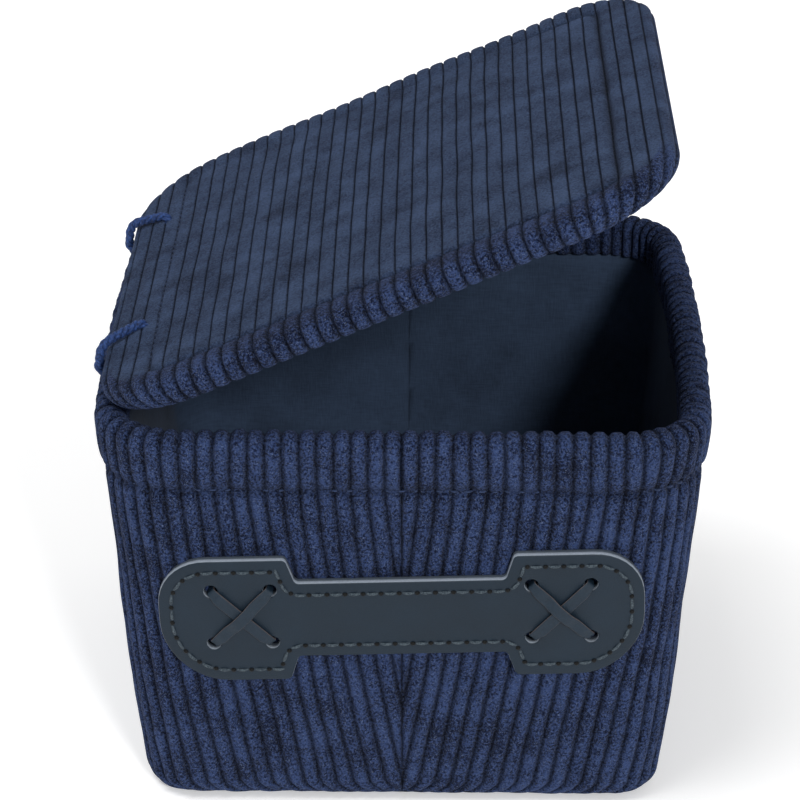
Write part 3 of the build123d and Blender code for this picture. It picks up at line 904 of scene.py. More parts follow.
def lining_wall(side):
    """One half of the smooth lining inside the walls."""
    sizes = settings("bin_sizes")
    plan = Plan()
    curve = wall_curve()
    low = node_box("lining_left")[0][2]
    height = np.concatenate([np.linspace(low, sizes.height - sizes.band, 40), [sizes.lining_top]])
    outer_inset = np.interp(height, curve[:, 1], curve[:, 0])
    reach = plan.panel_length(sizes.lining_gap)
    columns = np.arange(-reach - LINING_STEP, reach + 1.5 * LINING_STEP, LINING_STEP)
    u, row_height = np.meshgrid(columns, height)
    base_inset = spread(columns, outer_inset)[0] + sizes.lining_gap
    edge = plan.panel_length(base_inset) - np.abs(u)
    free = smooth_step(edge, 0.0, FOLD_FREE)
    seed = 0.7 if side == "left" else 2.9
    level = smooth_step(row_height, low, low + FOLD_START)
    folds = FOLD_DEPTH * (ripple(u, row_height * 0.5, FOLD_WAVE, seed) + 1) * free * level
    mirror = -1.0 if side == "right" else 1.0

    def layer(depth):
        x, y, nx, ny = plan.place(u, base_inset)
        return np.stack([(x - nx * depth) * mirror, y - ny * depth, row_height], axis=-1)

    thick = sizes.lining_thickness
    points, faces = shell(layer(folds), layer(folds + thick * (0.35 + 0.65 * free)))
    name = f"lining_cloth_{side}"
    piece = make_piece(name, points, faces, "woven_lining", "bin", [f"lining_{side}"])
    flat = (2 * reach, sizes.lining_top - low)
    return piece


def floor_sheet(name, node, finish, sag):
    """A flat cloth panel at the bottom, with the outline's shape and soft unevenness."""
    plan = Plan()
    low, high = node_box(node)
    inset = plan.half_depth - high[1]
    rings = np.concatenate([[0.0, 0.0012], np.linspace(0.004, high[1] - 0.001, 26)]) + inset
    reach = plan.panel_length(inset)
    share = np.linspace(-1, 1, 161)
    across, depth = np.meshgrid(share, rings)
    u = across * reach
    x, y, _, _ = plan.place(u, np.full_like(u, inset))
    shrink = 1 - (depth - inset) / high[1]
    x, y = x * shrink, y * shrink
    middle = (low[2] + high[2]) / 2
    soft = sag * ripple(x, y, FLOOR_WAVE, 1.9) * smooth_step(depth - inset, 0.0, FREE_REACH)
    half = (high[2] - low[2]) / 2
    edge_round = half * smooth_step(depth - inset, -0.0006, 0.0012)

    def layer(side, way):
        return np.stack([x * way, y, middle + side * edge_round + soft], axis=-1)

    parts = [shell(layer(1, way), layer(-1, way)) for way in (1, -1)]
    points, faces = joined(parts)
    piece = make_piece(name, points, faces, finish, "bin", [node])
    return piece


def rim_threads():
    """Small stitches in the pinched seam under the rim band."""
    sizes, cloth = settings("bin_sizes"), settings("cloth_sizes")
    plan = Plan()
    reach = plan.panel_length(sizes.stitch_inset)
    count = int(2 * reach / SEAM_STITCH_PITCH)
    along = (np.arange(count) + 0.5) / count * 2 * reach - reach
    seam = sizes.height - sizes.band
    depth = cloth.pinch * 0.9 + cloth.rib_depth * 0.7
    x, y, nx, ny = plan.place(along, np.full_like(along, sizes.stitch_inset + depth))
    parts = []
    for way in (1.0, -1.0):
        centres = np.stack([x * way, y, np.full_like(x, seam)], axis=-1)
        outward = np.stack([nx * way, ny, np.zeros_like(x)], axis=-1)
        run = np.stack([-ny * way, nx, np.zeros_like(x)], axis=-1)
        parts.append(stitches(centres, run, outward, RIM_STITCH))
    points, faces = joined(parts)
    replaced = ["rim_stitching"]
    return make_piece("rim_seam_thread", points, faces, "sewing_thread", "bin", replaced)


# ---- lid, in metres -------------------------------------------------------
# Columns of the mesh that lie closer together than this are merged.
COLUMN_GAP = 0.00006
# Spacing of the mesh rows at the crease.
CREASE_ROW_STEP = 0.0007
# Rise, place outside the crease and half width of the border's soft bulge.
BORDER_RISE = 0.0005
BORDER_PLACE = 0.006
BORDER_WIDTH = 0.0035
# How far in from the crease the crown rises, and the height and wavelength of the pad's softness.
CROWN_REACH = 0.03
PAD_SOFTNESS = 0.00025
PAD_WAVE = 0.06
# Where the crease tightens towards the free side and towards the front.
TIGHT_SIDE = (0.03, 0.06)
TIGHT_FRONT = (0.055, 0.07)
# The lid's ribs wander less than the walls' by this share, over this wavelength.
LID_WANDER = 0.4
LID_WANDER_WAVE = 0.043
# Half width of the change from brushed cloth to plain pile at the front crease.
NAP_BLEND = 0.003
# The underside cloth's mesh step, its lap under the turned cloth, and its puff.
UNDERSIDE_STEP = 0.0022
UNDERSIDE_LAP = 0.001
UNDERSIDE_SINK = 0.0003
UNDERSIDE_THICKNESS = 0.0005
UNDERSIDE_PUFF = 0.0009
UNDERSIDE_WAVE = 0.07


class LidShape:
    """The padded lid, flat and centred; rest() turns it up to where it stands open."""

    def __init__(self):
        sizes = settings("lid_sizes")
        self.radius = sizes.thickness / 2
        span = lid_high[0] - lid_low[0] - sizes.thickness
        self.half_width = (span / math.cos(rest_angle) + sizes.thickness) / 2
        self.half_depth = sizes.depth / 2
        self.flat_x = self.half_width - self.radius
        self.flat_y = self.half_depth - self.radius
        self.round = sizes.corner - self.radius
        self.crease_x = self.half_width - sizes.crease_sides
        self.crease_y = self.half_depth - sizes.crease_ends

    def rest(self, points):
        along = points[..., 0] + self.half_width - self.radius
        up = points[..., 2]
        x = hinge_place[0] + along * math.cos(rest_angle) - up * math.sin(rest_angle)
        z = hinge_place[2] + along * math.sin(rest_angle) + up * math.cos(rest_angle)
        return np.stack([x, points[..., 1], z], axis=-1)

    def end(self, x):
        """Half the flat top's depth at a place across it, less at the rounded corners."""
        over = np.clip(np.abs(x) - (self.flat_x - self.round), 0, self.round)
        return self.flat_y - self.round + np.sqrt(np.maximum(self.round**2 - over**2, 0))

    def from_crease(self, x, y):
        """Distance from the crease's rounded rectangle, negative inside it."""
        corner = settings("lid_sizes").crease_corner
        px = np.abs(x) - (self.crease_x - corner)
        py = np.abs(y) - (self.crease_y - corner)
        outside = np.hypot(np.maximum(px, 0), np.maximum(py, 0))
        return outside + np.minimum(np.maximum(px, py), 0) - corner

    def columns(self):
        """Places of the mesh's columns: on the ribs, and evenly round the corners."""
        ribs = rib_lines(-self.flat_x, self.flat_x, settings("cloth_sizes").rib_pitch)
        turns = np.sin(np.linspace(0, np.pi / 2, 54)) * self.round
        corners = self.flat_x - self.round + turns
        lines = np.sort(np.concatenate([ribs, corners, -corners]))
        keep = np.concatenate([[True], np.diff(lines) > COLUMN_GAP])
        keep[-1] = True
        return lines[keep]

    def rows(self):
        """Places of the mesh's rows along the flat top, closer together at the crease."""
        crease = self.crease_y
        near = np.arange(crease - 0.004, crease + 0.0041, CREASE_ROW_STEP)
        outer = np.linspace(crease + 0.005, self.flat_y, 6)
        inner = np.linspace(-(crease - 0.0055), crease - 0.0055, 46)
        return np.unique(np.concatenate([-outer, -near, inner, near, outer]))


def lid_rise(shape, x, y):
    """How far the pad's top stands above its flat level at a place, and how creased it is."""
    sizes = settings("lid_sizes")
    gap = shape.from_crease(x, y)
    tight = 0.15 + 0.85 * np.maximum(smooth_step(x, *TIGHT_SIDE), smooth_step(-y, *TIGHT_FRONT))
    crease = np.exp(-((gap / sizes.crease_width) ** 2)) * tight
    centre = smooth_step(-gap, 0.0, CROWN_REACH) * sizes.crown
    border = BORDER_RISE * np.exp(-(((gap - BORDER_PLACE) / BORDER_WIDTH) ** 2))
    soft = PAD_SOFTNESS * ripple(x, y, PAD_WAVE, 3.3)
    loose = smooth_step(x, -shape.flat_x, -shape.crease_x)
    return centre + (border + soft) * loose - sizes.crease_depth * crease, crease


def lid_wander(shape, x, y):
    """How far the lid's ribs wander sideways at a place."""
    wander = LID_WANDER * settings("cloth_sizes").wander * ripple(y, x, LID_WANDER_WAVE, 2.2)
    return wander * smooth_step(shape.flat_x - np.abs(x), 0.0, FREE_REACH)


def lid_top(shape):
    """The flat top's two faces as parts, with the rib, brushed-panel and seam values of its points: the
    brushed panel's value also paints sheen, and the seam value paints shade into the crease.
    """
    sizes, cloth = settings("lid_sizes"), settings("cloth_sizes")
    columns, rows = shape.columns(), shape.rows()
    x, nominal = np.meshgrid(columns, rows)
    y = nominal * shape.end(x) / shape.flat_y
    rib = rib_height(x, cloth.rib_pitch, cloth.lid_groove, 0.06)
    rise, crease = lid_rise(shape, x, y)
    lift = shape.radius + rise + cloth.lid_rib_depth * (rib - 1) * (1 - 0.6 * crease)
    across = x + lid_wander(shape, x, y)
    outer = np.stack([across, y, lift], axis=-1)
    inner = np.stack([across, y, shape.radius + rise - sizes.skin], axis=-1)
    grid = grid_faces(len(rows), len(columns))
    brushed = smooth_step(y, -shape.crease_y - NAP_BLEND, -shape.crease_y + NAP_BLEND)
    parts = [(outer.reshape(-1, 3), grid), (inner.reshape(-1, 3), grid[:, ::-1])]
    # The seam value paints shade into the sewn crease.
    return parts, {"rib": x / cloth.rib_pitch, "nap_and_sheen": brushed, "seam": 0.7 * crease}


def lid_loop(shape):
    """Points round the flat top's edge, counted the same way as its grid, and their normals."""
    columns, rows = shape.columns(), shape.rows()
    front = np.stack([columns, -shape.end(columns)], axis=-1)
    right_y = rows * shape.end(shape.flat_x) / shape.flat_y
    right = np.stack([np.full(len(rows), shape.flat_x), right_y], axis=-1)
    loop = np.concatenate([front, right, -front, -right])
    over_x = np.clip((np.abs(loop[:, 0]) - (shape.flat_x - shape.round)) / shape.round, 0, 1)
    on_side = np.tile(np.arange(len(front) + len(right)) >= len(front), 2)
    normal_x = np.sign(loop[:, 0]) * over_x
    normal_y = np.where(on_side, 0.0, np.sign(loop[:, 1]) * np.sqrt(1 - over_x**2))
    return loop, normal_x[None], normal_y[None]


def lid_edge(shape):
    """The rolled edge and the part turned under, with the values of its points."""
    sizes, cloth = settings("lid_sizes"), settings("cloth_sizes")
    radius, pitch = shape.radius, cloth.rib_pitch
    loop, nx, ny = lid_loop(shape)
    bx, by = loop[:, 0][None], loop[:, 1][None]
    roll_length = math.pi * radius
    total = roll_length + sizes.turn_under - radius
    lines = rib_lines(shape.flat_x, shape.flat_x + total, pitch) - shape.flat_x
    travel = np.concatenate([[0.0], lines[lines > 0.0001], [total]])[:, None]
    bend = np.minimum(travel / radius, math.pi)
    past = np.maximum(travel - roll_length, 0)
    cloth_place = bx + nx * travel
    rib = rib_height(cloth_place, pitch, cloth.lid_groove, 0.2)
    fade = np.cos(np.minimum(bend, np.pi / 2))
    rise, crease = lid_rise(shape, bx, by)
    wander = lid_wander(shape, bx, by) * fade
    depth = cloth.lid_rib_depth * (1 - 0.6 * crease * fade + 0.4 * np.sin(bend))

    def layer(lift):
        swing = radius + lift
        reach = swing * np.sin(bend) - past
        return np.stack([bx + nx * reach + wander, by + ny * reach, swing * np.cos(bend)], axis=-1)

    outer, inner = layer(depth * (rib - 1) + rise * fade), layer(-sizes.skin + rise * fade)
    points, faces = shell(outer, inner, closed=True)
    ring = len(loop)
    open_rim = len(faces) - 2 * ring
    faces = np.delete(faces, np.arange(open_rim, open_rim + ring), axis=0)
    # No brushed panel on the front edge, and painted sheen that fades as the roll turns down from the top.
    nap_and_sheen = (1 - np.clip(-ny * 3, 0, 1) * np.ones_like(rib)) * (0.35 + 0.65 * fade)
    return (points, faces), {"rib": cloth_place / pitch, "nap_and_sheen": nap_and_sheen, "seam": np.zeros_like(rib)}


def lid_cover():
    """The lid's ribbed cloth: its top, its rolled edge and the part turned under."""
    shape = LidShape()
    parts, on_top = lid_top(shape)
    edge, on_edge = lid_edge(shape)
    points, faces = joined([*parts, edge])
    attributes = {
        name: np.concatenate([np.tile(on_top[name].ravel(), 2), np.tile(on_edge[name].ravel(), 2)])
        for name in ("seam", "nap_and_sheen", "rib")
    }
    name, place = "lid_ribbed_cover", shape.rest(points)
    piece = make_piece(name, place, faces, "ribbed_cloth", "lid", ["lid_cover"], attributes)
    return piece


def rounded_grid(half_x, half_y, corner, step):
    """A grid over a rounded rectangle, with its columns shortened at the corners."""
    x = np.linspace(-half_x, half_x, int(2 * half_x / step))
    share = np.linspace(-1, 1, int(2 * half_y / step))
    over = np.clip(np.abs(x) - (half_x - corner), 0, corner)
    end = half_y - corner + np.sqrt(np.maximum(corner**2 - over**2, 0))
    return np.meshgrid(x, share)[0], share[:, None] * end[None]


def lid_lining():
    """The smooth cloth that covers the lid's underside."""
    sizes = settings("lid_sizes")
    shape = LidShape()
    inset = sizes.turn_under - UNDERSIDE_LAP
    half_x, half_y = shape.half_width - inset, shape.half_depth - inset
    x, y = rounded_grid(half_x, half_y, sizes.corner - inset, UNDERSIDE_STEP)
    gap = np.minimum(half_x - np.abs(x), half_y - np.abs(y))
    puff = UNDERSIDE_PUFF * smooth_step(gap, 0.006, CROWN_REACH)
    puff = puff * (1 + 0.5 * ripple(x, y, UNDERSIDE_WAVE, 5.1))
    level = -shape.radius + UNDERSIDE_SINK - puff
    outer = np.stack([x, y, level], axis=-1)
    inner = np.stack([x, y, level + UNDERSIDE_THICKNESS], axis=-1)
    points, faces = shell(outer, inner)
    piece = make_piece(
        "lid_lining_cloth", shape.rest(points), faces, "woven_lining", "lid", ["lid_lining"]
    )
    2 * half_x
    2 * half_y
    return piece


def lid_threads():
    """Small stitches in the lid's sewn crease."""
    sizes = settings("lid_sizes")
    shape = LidShape()
    corner = sizes.crease_corner
    px, py = shape.crease_x - corner, shape.crease_y - corner
    quarter = math.pi * corner / 2
    total = 4 * (px + py) + 4 * quarter
    count = int(total / SEAM_STITCH_PITCH)
    turns = np.linspace(0, math.pi / 2, 12)
    outline = []
    for cx, cy, start in ((px, py, 0), (-px, py, 1), (-px, -py, 2), (px, -py, 3)):
        for turn in turns + start * math.pi / 2:
            outline.append((cx + corner * math.cos(turn), cy + corner * math.sin(turn)))
    path = np.array([*outline, outline[0]])
    here, step = walk(path, (np.arange(count) + 0.5) / count, 0.0005)
    rise, _ = lid_rise(shape, here[:, 0], here[:, 1])
    level = shape.radius + rise - settings("cloth_sizes").rib_depth * 0.75
    centres = shape.rest(np.column_stack([here, level]))
    ahead = shape.rest(np.column_stack([here + step, level])) - centres
    up = np.array([-math.sin(rest_angle), 0, math.cos(rest_angle)])
    points, faces = stitches(centres, ahead, np.repeat(up[None], count, axis=0), LID_STITCH)
    replaced = ["lid_stitching"]
    return make_piece("lid_seam_thread", points, faces, "sewing_thread", "lid", replaced)


# ---- hinge cords ----------------------------------------------------------
# Distance between the points that the strands follow, in metres.
CORD_STEP = 0.0003


def on_lid(along, up):
    """(x, z) of a place on the open lid: along its middle plane from the hinge, and up."""
    x = hinge_place[0] + along * math.cos(rest_angle) - up * math.sin(rest_angle)
    return x, hinge_place[2] + along * math.sin(rest_angle) + up * math.cos(rest_angle)


def smooth_line(points):
    """A smooth line with these control points, and directions along it."""
    curve = bpy.data.curves.new("route", "CURVE")
    curve.dimensions = "3D"
    curve.resolution_u = 24
    spline = curve.splines.new("NURBS")
    spline.points.add(len(points) - 1)
    for spot, point in zip(spline.points, points):
        spot.co = (*point, 1.0)
    spline.order_u = 3
    spline.use_endpoint_u = True
    carrier = bpy.data.objects.new("route", curve)
    mesh = bpy.data.meshes.new_from_object(carrier)
    line = np.array([vertex.co for vertex in mesh.vertices])
    bpy.data.objects.remove(carrier)
    bpy.data.curves.remove(curve)
    bpy.data.meshes.remove(mesh)
    run = run_along(line)
    even = np.linspace(0, run[-1], int(run[-1] / CORD_STEP))
    line = np.stack([np.interp(even, run, line[:, axis]) for axis in range(3)], axis=-1)
    return line, unit(np.gradient(line, axis=0))


def twisted(line, tangent, sideways, diameter, lay, strands=3):
    """Strands wound round a line that lies in one plane, whose normal is sideways."""
    out = np.cross(tangent, sideways)
    strand = diameter * 0.238
    offset = diameter / 2 - strand
    run = run_along(line)
    parts = []
    for index in range(strands):
        turn = 2 * np.pi * (run / lay + index / strands)
        radial = np.cos(turn)[:, None] * out + np.sin(turn)[:, None] * sideways
        path = line + radial * offset
        across = unit(np.cross(unit(np.gradient(path, axis=0)), radial))
        parts.append(tube(path, strand * 1.08, strand, across, radial))
    return parts


def knot(centre, radius, diameter):
    """A small overhand knot that holds the cord inside the wall."""
    turn = np.linspace(0, 2 * np.pi, 90)
    thick = diameter * 0.36
    size = (radius + 0.0004 - thick) / 3.0
    path = np.stack(
        [
            np.cos(3 * turn) * size * 1.2,
            (np.sin(turn) + 2 * np.sin(2 * turn)) * size,
            (np.cos(turn) - 2 * np.cos(2 * turn)) * size,
        ],
        axis=-1,
    )
    ahead = unit(np.gradient(path, axis=0))
    across = unit(np.cross(ahead, unit(path)))
    return tube(path + centre, thick, thick, across, np.cross(across, ahead))


def cord_route():
    """(x, z) of the points that a loop goes by, and where its hole in the lid is along x."""
    sizes, bin_size = settings("cord_sizes"), settings("bin_sizes")
    half_lid = settings("lid_sizes").thickness / 2
    roll = bin_size.roll / 2
    reach = sizes.lid_inset - half_lid
    wall_x, wall_z = -bin_size.width / 2, bin_size.height - sizes.wall_drop
    knot_x = wall_x + bin_size.roll + sizes.knot + 2 * sizes.stand_off
    out = roll + sizes.diameter / 2 + sizes.stand_off
    exit_x = wall_x + roll - out * math.cos(sizes.exit_angle)
    exit_z = bin_size.height - roll + out * math.sin(sizes.exit_angle)
    above = half_lid + sizes.diameter / 2 + sizes.stand_off
    round_edge = [math.radians(turn) for turn in (170, 140, 112)]
    route = [
        # from the knot out over the rolled rim
        (knot_x, wall_z),
        ((knot_x + exit_x) / 2, (wall_z + exit_z) / 2),
        (exit_x + 0.0012, exit_z - 0.0008),
        (exit_x - 0.0001, exit_z + 0.0012),
        # round the lid's edge and along its top
        *(on_lid(1.03 * above * math.cos(turn), 1.03 * above * math.sin(turn)) for turn in round_edge),
        on_lid(0.0, above),
        on_lid(reach - 0.0036, above - 0.0002),
        on_lid(reach - 0.0004, above - 0.0003),
        # down the lid's hole and back to the knot
        on_lid(reach, above - 0.0028),
        on_lid(reach, -above + 0.001),
        on_lid(reach - 0.0004, -above - 0.0022),
        on_lid(reach - 0.0040, -above - 0.0034),
        (knot_x, wall_z),
    ]
    return route, on_lid(reach, 0.0)[0]


def hinge_cord(place):
    """One twisted loop from the wall's hole up round the lid's edge and down its hole."""
    sizes = settings("cord_sizes")
    route, hole_x = cord_route()
    slant = -sizes.slant if place == "front" else sizes.slant
    start_y = sizes.front if place == "front" else sizes.rear
    points = [(x, start_y + slant * (hole_x - x), z) for x, z in route]
    line, tangent = smooth_line(points)
    sideways = np.array([slant, 1.0, 0.0]) / math.hypot(slant, 1.0)
    parts = twisted(line, tangent, sideways, sizes.diameter, sizes.lay)
    parts.append(knot(np.array(points[0]), sizes.knot, sizes.diameter))
    mesh_points, faces = joined(parts)
    start = (hinge_place[0], 0.0, points[0][2] + 0.004)
    end = (hinge_place[0], 0.0, hinge_place[2])
    name, replaced, blended = f"twisted_cord_{place}", [f"hinge_cord_{place}"], ("bin", "lid", start, end)
    finish, slot = "twisted_cord", "hinge_cord"
    return make_piece(name, mesh_points, faces, finish, "bin", replaced, blended=blended)


# ---- handle, in metres ----------------------------------------------------
# How far the pull is pressed into the wall, and how far its ends wrap back and between which places.
PULL_SINK = 0.0003
PULL_WRAP = 0.0012
PULL_WRAP_FROM = 0.050
PULL_WRAP_TO = 0.0665
SMALLEST_CORNER = 0.0002
# The layers' mesh: longest run on an outline, grid step inside it and its clearance from a rim.
OUTLINE_STEP = 0.002
LEATHER_STEP = 0.0035
RIM_CLEARANCE = 0.0012
# Rounding where the two layers meet, of the backing's upper edge and of the pull's front edge.
LAYER_JOINT = 0.00005
BACK_ROUND = 0.00006
FRONT_ROUND = 0.0004
# How pale the cut edges of the two layers look: partly their own pale colour, partly a painted highlight for
# the lit top edge.
BACK_EDGE_PALE = 0.2
FRONT_EDGE_PALE = 1.0
# Depth under the leather's face of the dark discs of painted needle-hole shade.
NEEDLE_HOLE_SINK = 0.00006
# A lace's lift off the leather, reach of its hump over the other lace, shortening and depth in a hole.
LACE_LIFT = 0.00015
LACE_HUMP_REACH = 0.0042
LACE_SHORTENING = 0.0004
LACE_DEPTH = 0.0034
LACE_CUP = 0.00025


class HandlePlane:
    """The pull's own plane: x along it, y up it, and out from the wall."""

    def __init__(self):
        sizes = settings("handle_sizes")
        curve = wall_curve()
        centre = (strap_low + strap_high) / 2
        half = sizes.tab_width / 2
        low = np.interp(centre[2] - half, curve[:, 1], curve[:, 0])
        high = np.interp(centre[2] + half, curve[:, 1], curve[:, 0])
        lean = math.atan2(low - high, sizes.tab_width)
        self.out = np.array([0.0, -math.cos(lean), -math.sin(lean)])
        rise = np.array([0.0, -math.sin(lean), math.cos(lean)])
        side = np.array([1.0, 0.0, 0.0])
        self.side = math.cos(sizes.skew) * side + math.sin(sizes.skew) * rise
        self.up = math.cos(sizes.skew) * rise - math.sin(sizes.skew) * side
        inset = np.interp(centre[2], curve[:, 1], curve[:, 0])
        self.origin = np.array([0.0, -settings("bin_sizes").depth / 2 + inset - PULL_SINK, centre[2]])

    def place(self, points):
        """Turns plane coordinates into the bin's frame, following the wall at the ends."""
        x, y, out = points[..., 0], points[..., 1], points[..., 2]
        wrap = PULL_WRAP * smooth_step(np.abs(x), PULL_WRAP_FROM, PULL_WRAP_TO)
        flat = x[..., None] * self.side + y[..., None] * self.up
        return self.origin + flat + (out - wrap)[..., None] * self.out


def rounded_path(corners, inset, steps=10):
    """Points round a polygon with rounded corners, each given as (x, y, radius), moved inwards."""
    corners = np.array(corners)
    places, radii = corners[:, :2], corners[:, 2]
    count = len(places)
    path = []
    for index in range(count):
        before, here, after = places[index - 1], places[index], places[(index + 1) % count]
        come = (here - before) / np.linalg.norm(here - before)
        leave = (after - here) / np.linalg.norm(after - here)
        bend = come[0] * leave[1] - come[1] * leave[0]
        turn = math.atan2(bend, float(come @ leave))
        left_in, left_out = np.array([-come[1], come[0]]), np.array([-leave[1], leave[0]])
        bisector = (left_in + left_out) / (1 + float(left_in @ left_out))
        corner = here + bisector * inset
        radius = max(radii[index] - inset * math.copysign(1, turn), SMALLEST_CORNER)
        tangent = radius * math.tan(abs(turn) / 2)
        start = corner - come * tangent
        centre = start + left_in * radius * math.copysign(1, turn)
        for share in np.linspace(0, 1, steps):
            spin = turn * share
            arm_x, arm_y = start - centre
            turned_x = arm_x * math.cos(spin) - arm_y * math.sin(spin)
            turned_y = arm_x * math.sin(spin) + arm_y * math.cos(spin)
            path.append(centre + np.array([turned_x, turned_y]))
    return np.array(path)


def handle_corners():
    sizes = settings("handle_sizes")
    end, tab, strap = sizes.length / 2, sizes.tab_width / 2, sizes.strap_width / 2
    shoulder = end - sizes.tab_length
    neck = shoulder - sizes.shoulder_slope
    small = sizes.shoulder_round
    right = [
        (neck, -strap, small),
        (shoulder, -tab, small),
        (end, -tab, sizes.tab_lower),
        (end, tab, sizes.tab_upper),
        (shoulder, tab, small),
        (neck, strap, small),
    ]
    return right + [(-x, y, radius) for x, y, radius in right[::-1]]


def lace_holes():
    """Centres of the lace holes: four in each tab."""
    sizes = settings("handle_sizes")
    middle = sizes.length / 2 - sizes.hole_inset
    return [
        (side * middle + dx * sizes.hole_x / 2, sizes.hole_rise + dy * sizes.hole_y / 2)
        for side in (-1, 1)
        for dx in (-1, 1)
        for dy in (-1, 1)
    ]


def ring_points(centre, radius, count=24):
    turn = np.linspace(0, -2 * np.pi, count, endpoint=False)
    return np.stack([centre[0] + radius * np.cos(turn), centre[1] + radius * np.sin(turn)], axis=-1)


def filled(path, pieces):
    """A closed path with each of its runs cut into a number of pieces."""
    nexts = np.roll(path, -1, axis=0)
    return np.array(
        [
            here + (after - here) * index / count
            for here, after, count in zip(path, nexts, pieces)
            for index in range(count)
        ]
    )


def layer_loops(insets):
    """Closed paths round the pull and round each lace hole, at each of some insets."""
    base = rounded_path(handle_corners(), 0.0)
    gaps = np.linalg.norm(np.roll(base, -1, axis=0) - base, axis=1)
    pieces = np.maximum(1, (gaps / OUTLINE_STEP).astype(int))
    hole = settings("handle_sizes").hole / 2
    loops = [[filled(rounded_path(handle_corners(), inset), pieces) for inset in insets]]
    return loops + [[ring_points(centre, hole + inset) for inset in insets] for centre in lace_holes()]


def inner_points(outline, rims):
    """Points of an even grid inside an outline and clear of every rim."""
    sizes = settings("handle_sizes")
    end, tab = sizes.length / 2, sizes.tab_width / 2
    x, y = np.meshgrid(np.arange(-end, end, LEATHER_STEP), np.arange(-tab, tab, LEATHER_STEP))
    points = [Vector(point) for point in zip(x.ravel(), y.ravel())]
    within = [point for point in points if inside(outline, point)]
    return [point for point in within if clear_of_rims(point, rims, RIM_CLEARANCE)]


def fill_level(points, rims, height):
    """Faces that fill one level of a layer between its rims; the points it adds go to the end."""
    flat, edges, index_of = [], [], []
    for first, count in rims:
        start = len(flat)
        flat += [Vector(points[first + index][:2]) for index in range(count)]
        index_of += [first + index for index in range(count)]
        edges += [(start + index, start + (index + 1) % count) for index in range(count)]
    outline = np.array([tuple(vertex) for vertex in flat[: rims[0][1]]])
    found = delaunay_2d_cdt(flat + inner_points(outline, flat), edges, [], 1, 1e-7)
    places, triangles, sources = found[0], found[2], found[3]
    lookup = []
    for place, source in zip(places, sources):
        known = [index for index in source if index < len(flat)]
        lookup.append(index_of[known[0]] if known else len(points))
        if not known:
            points.append((place.x, place.y, height))
    hole = settings("handle_sizes").hole / 2
    holes = [Vector(centre) for centre in lace_holes()]
    faces = []
    for triangle in triangles:
        middle = sum((places[index] for index in triangle), Vector((0, 0))) / 3
        if all((middle - centre).length >= hole for centre in holes):
            faces.append(tuple(lookup[index] for index in triangle))
    return faces


def flat_layer(name, bottom, top, soft, pale, node):
    """One layer of the pull with a softened front edge and its lace holes."""
    levels = [
        (LAYER_JOINT, bottom),
        (0.0, bottom + LAYER_JOINT),
        (0.0, top - soft),
        (soft * 0.3, top - soft * 0.3),
        (soft, top),
    ]
    points, faces, edge_share = [], [], []
    lowest, highest = [], []
    for loop in layer_loops([inset for inset, _ in levels]):
        first, count = len(points), len(loop[0])
        for (_, out), ring in zip(levels, loop):
            points += [(x, y, out) for x, y in ring]
            edge_share += [pale if out < top - soft / 2 else 0.0] * count
        faces += [tuple(face) for face in grid_faces(len(levels), count, first, True)]
        lowest.append((first, count))
        highest.append((first + (len(levels) - 1) * count, count))
    faces += fill_level(points, lowest, bottom)
    faces += fill_level(points, highest, top)
    edge_share += [0.0] * (len(points) - len(edge_share))
    placed = HandlePlane().place(np.array(points))
    attributes = {"edge": np.array(edge_share)}
    finish, slot = "smooth_leather", "handle_leather"
    return make_piece(name, placed, faces, finish, "bin", [node], attributes)


def inside(outline, point):
    """Whether a point lies inside a closed outline."""
    x, y = point
    ax, ay = outline[:, 0], outline[:, 1]
    bx, by = np.roll(ax, -1), np.roll(ay, -1)
    crosses = (ay > y) != (by > y)
    where = ax + (y - ay) / np.where(by == ay, 1e-12, by - ay) * (bx - ax)
    return bool(np.count_nonzero(crosses & (where > x)) % 2)


def clear_of_rims(point, rims, gap):
    places = np.array([tuple(rim) for rim in rims])
    return bool(np.min(np.hypot(places[:, 0] - point[0], places[:, 1] - point[1])) > gap)


def handle_threads():
    """The row of stitches inside the pull's edge, with a dark disc of painted needle-hole shade at each end
    of each.
    """
    sizes = settings("handle_sizes")
    plane = HandlePlane()
    path = rounded_path(handle_corners(), sizes.stitch_inset)
    path = np.concatenate([path, path[:1]])
    count = round(run_along(path)[-1] / sizes.stitch_pitch)
    level = np.full(count, sizes.backing + sizes.leather)
    here, step = walk(path, (np.arange(count) + 0.5) / count, 0.0004)
    centres = plane.place(np.column_stack([here, level]))
    ahead = plane.place(np.column_stack([here + step, level])) - centres
    outward = np.repeat(plane.out[None], count, axis=0)
    bars = stitches(centres, ahead, outward, (sizes.stitch_length, *PULL_STITCH_SECTION))
    # Painted shade: near-black discs sit in the needle holes, where only shade falls.
    ends, _ = walk(path, np.arange(count) / count, 0.0)
    hole_centres = plane.place(np.column_stack([ends, level - NEEDLE_HOLE_SINK]))
    holes = stitches(hole_centres, ahead, outward, NEEDLE_HOLE_SHADE)
    points, faces = joined([bars, holes])
    dark = {"needle_hole_shade": np.concatenate([np.zeros(len(bars[0])), np.ones(len(holes[0]))])}
    name, finish, slot = "handle_thread", "leather_thread_and_glints", "handle_thread"
    return make_piece(name, points, faces, finish, "bin", ["handle_stitching"], dark)


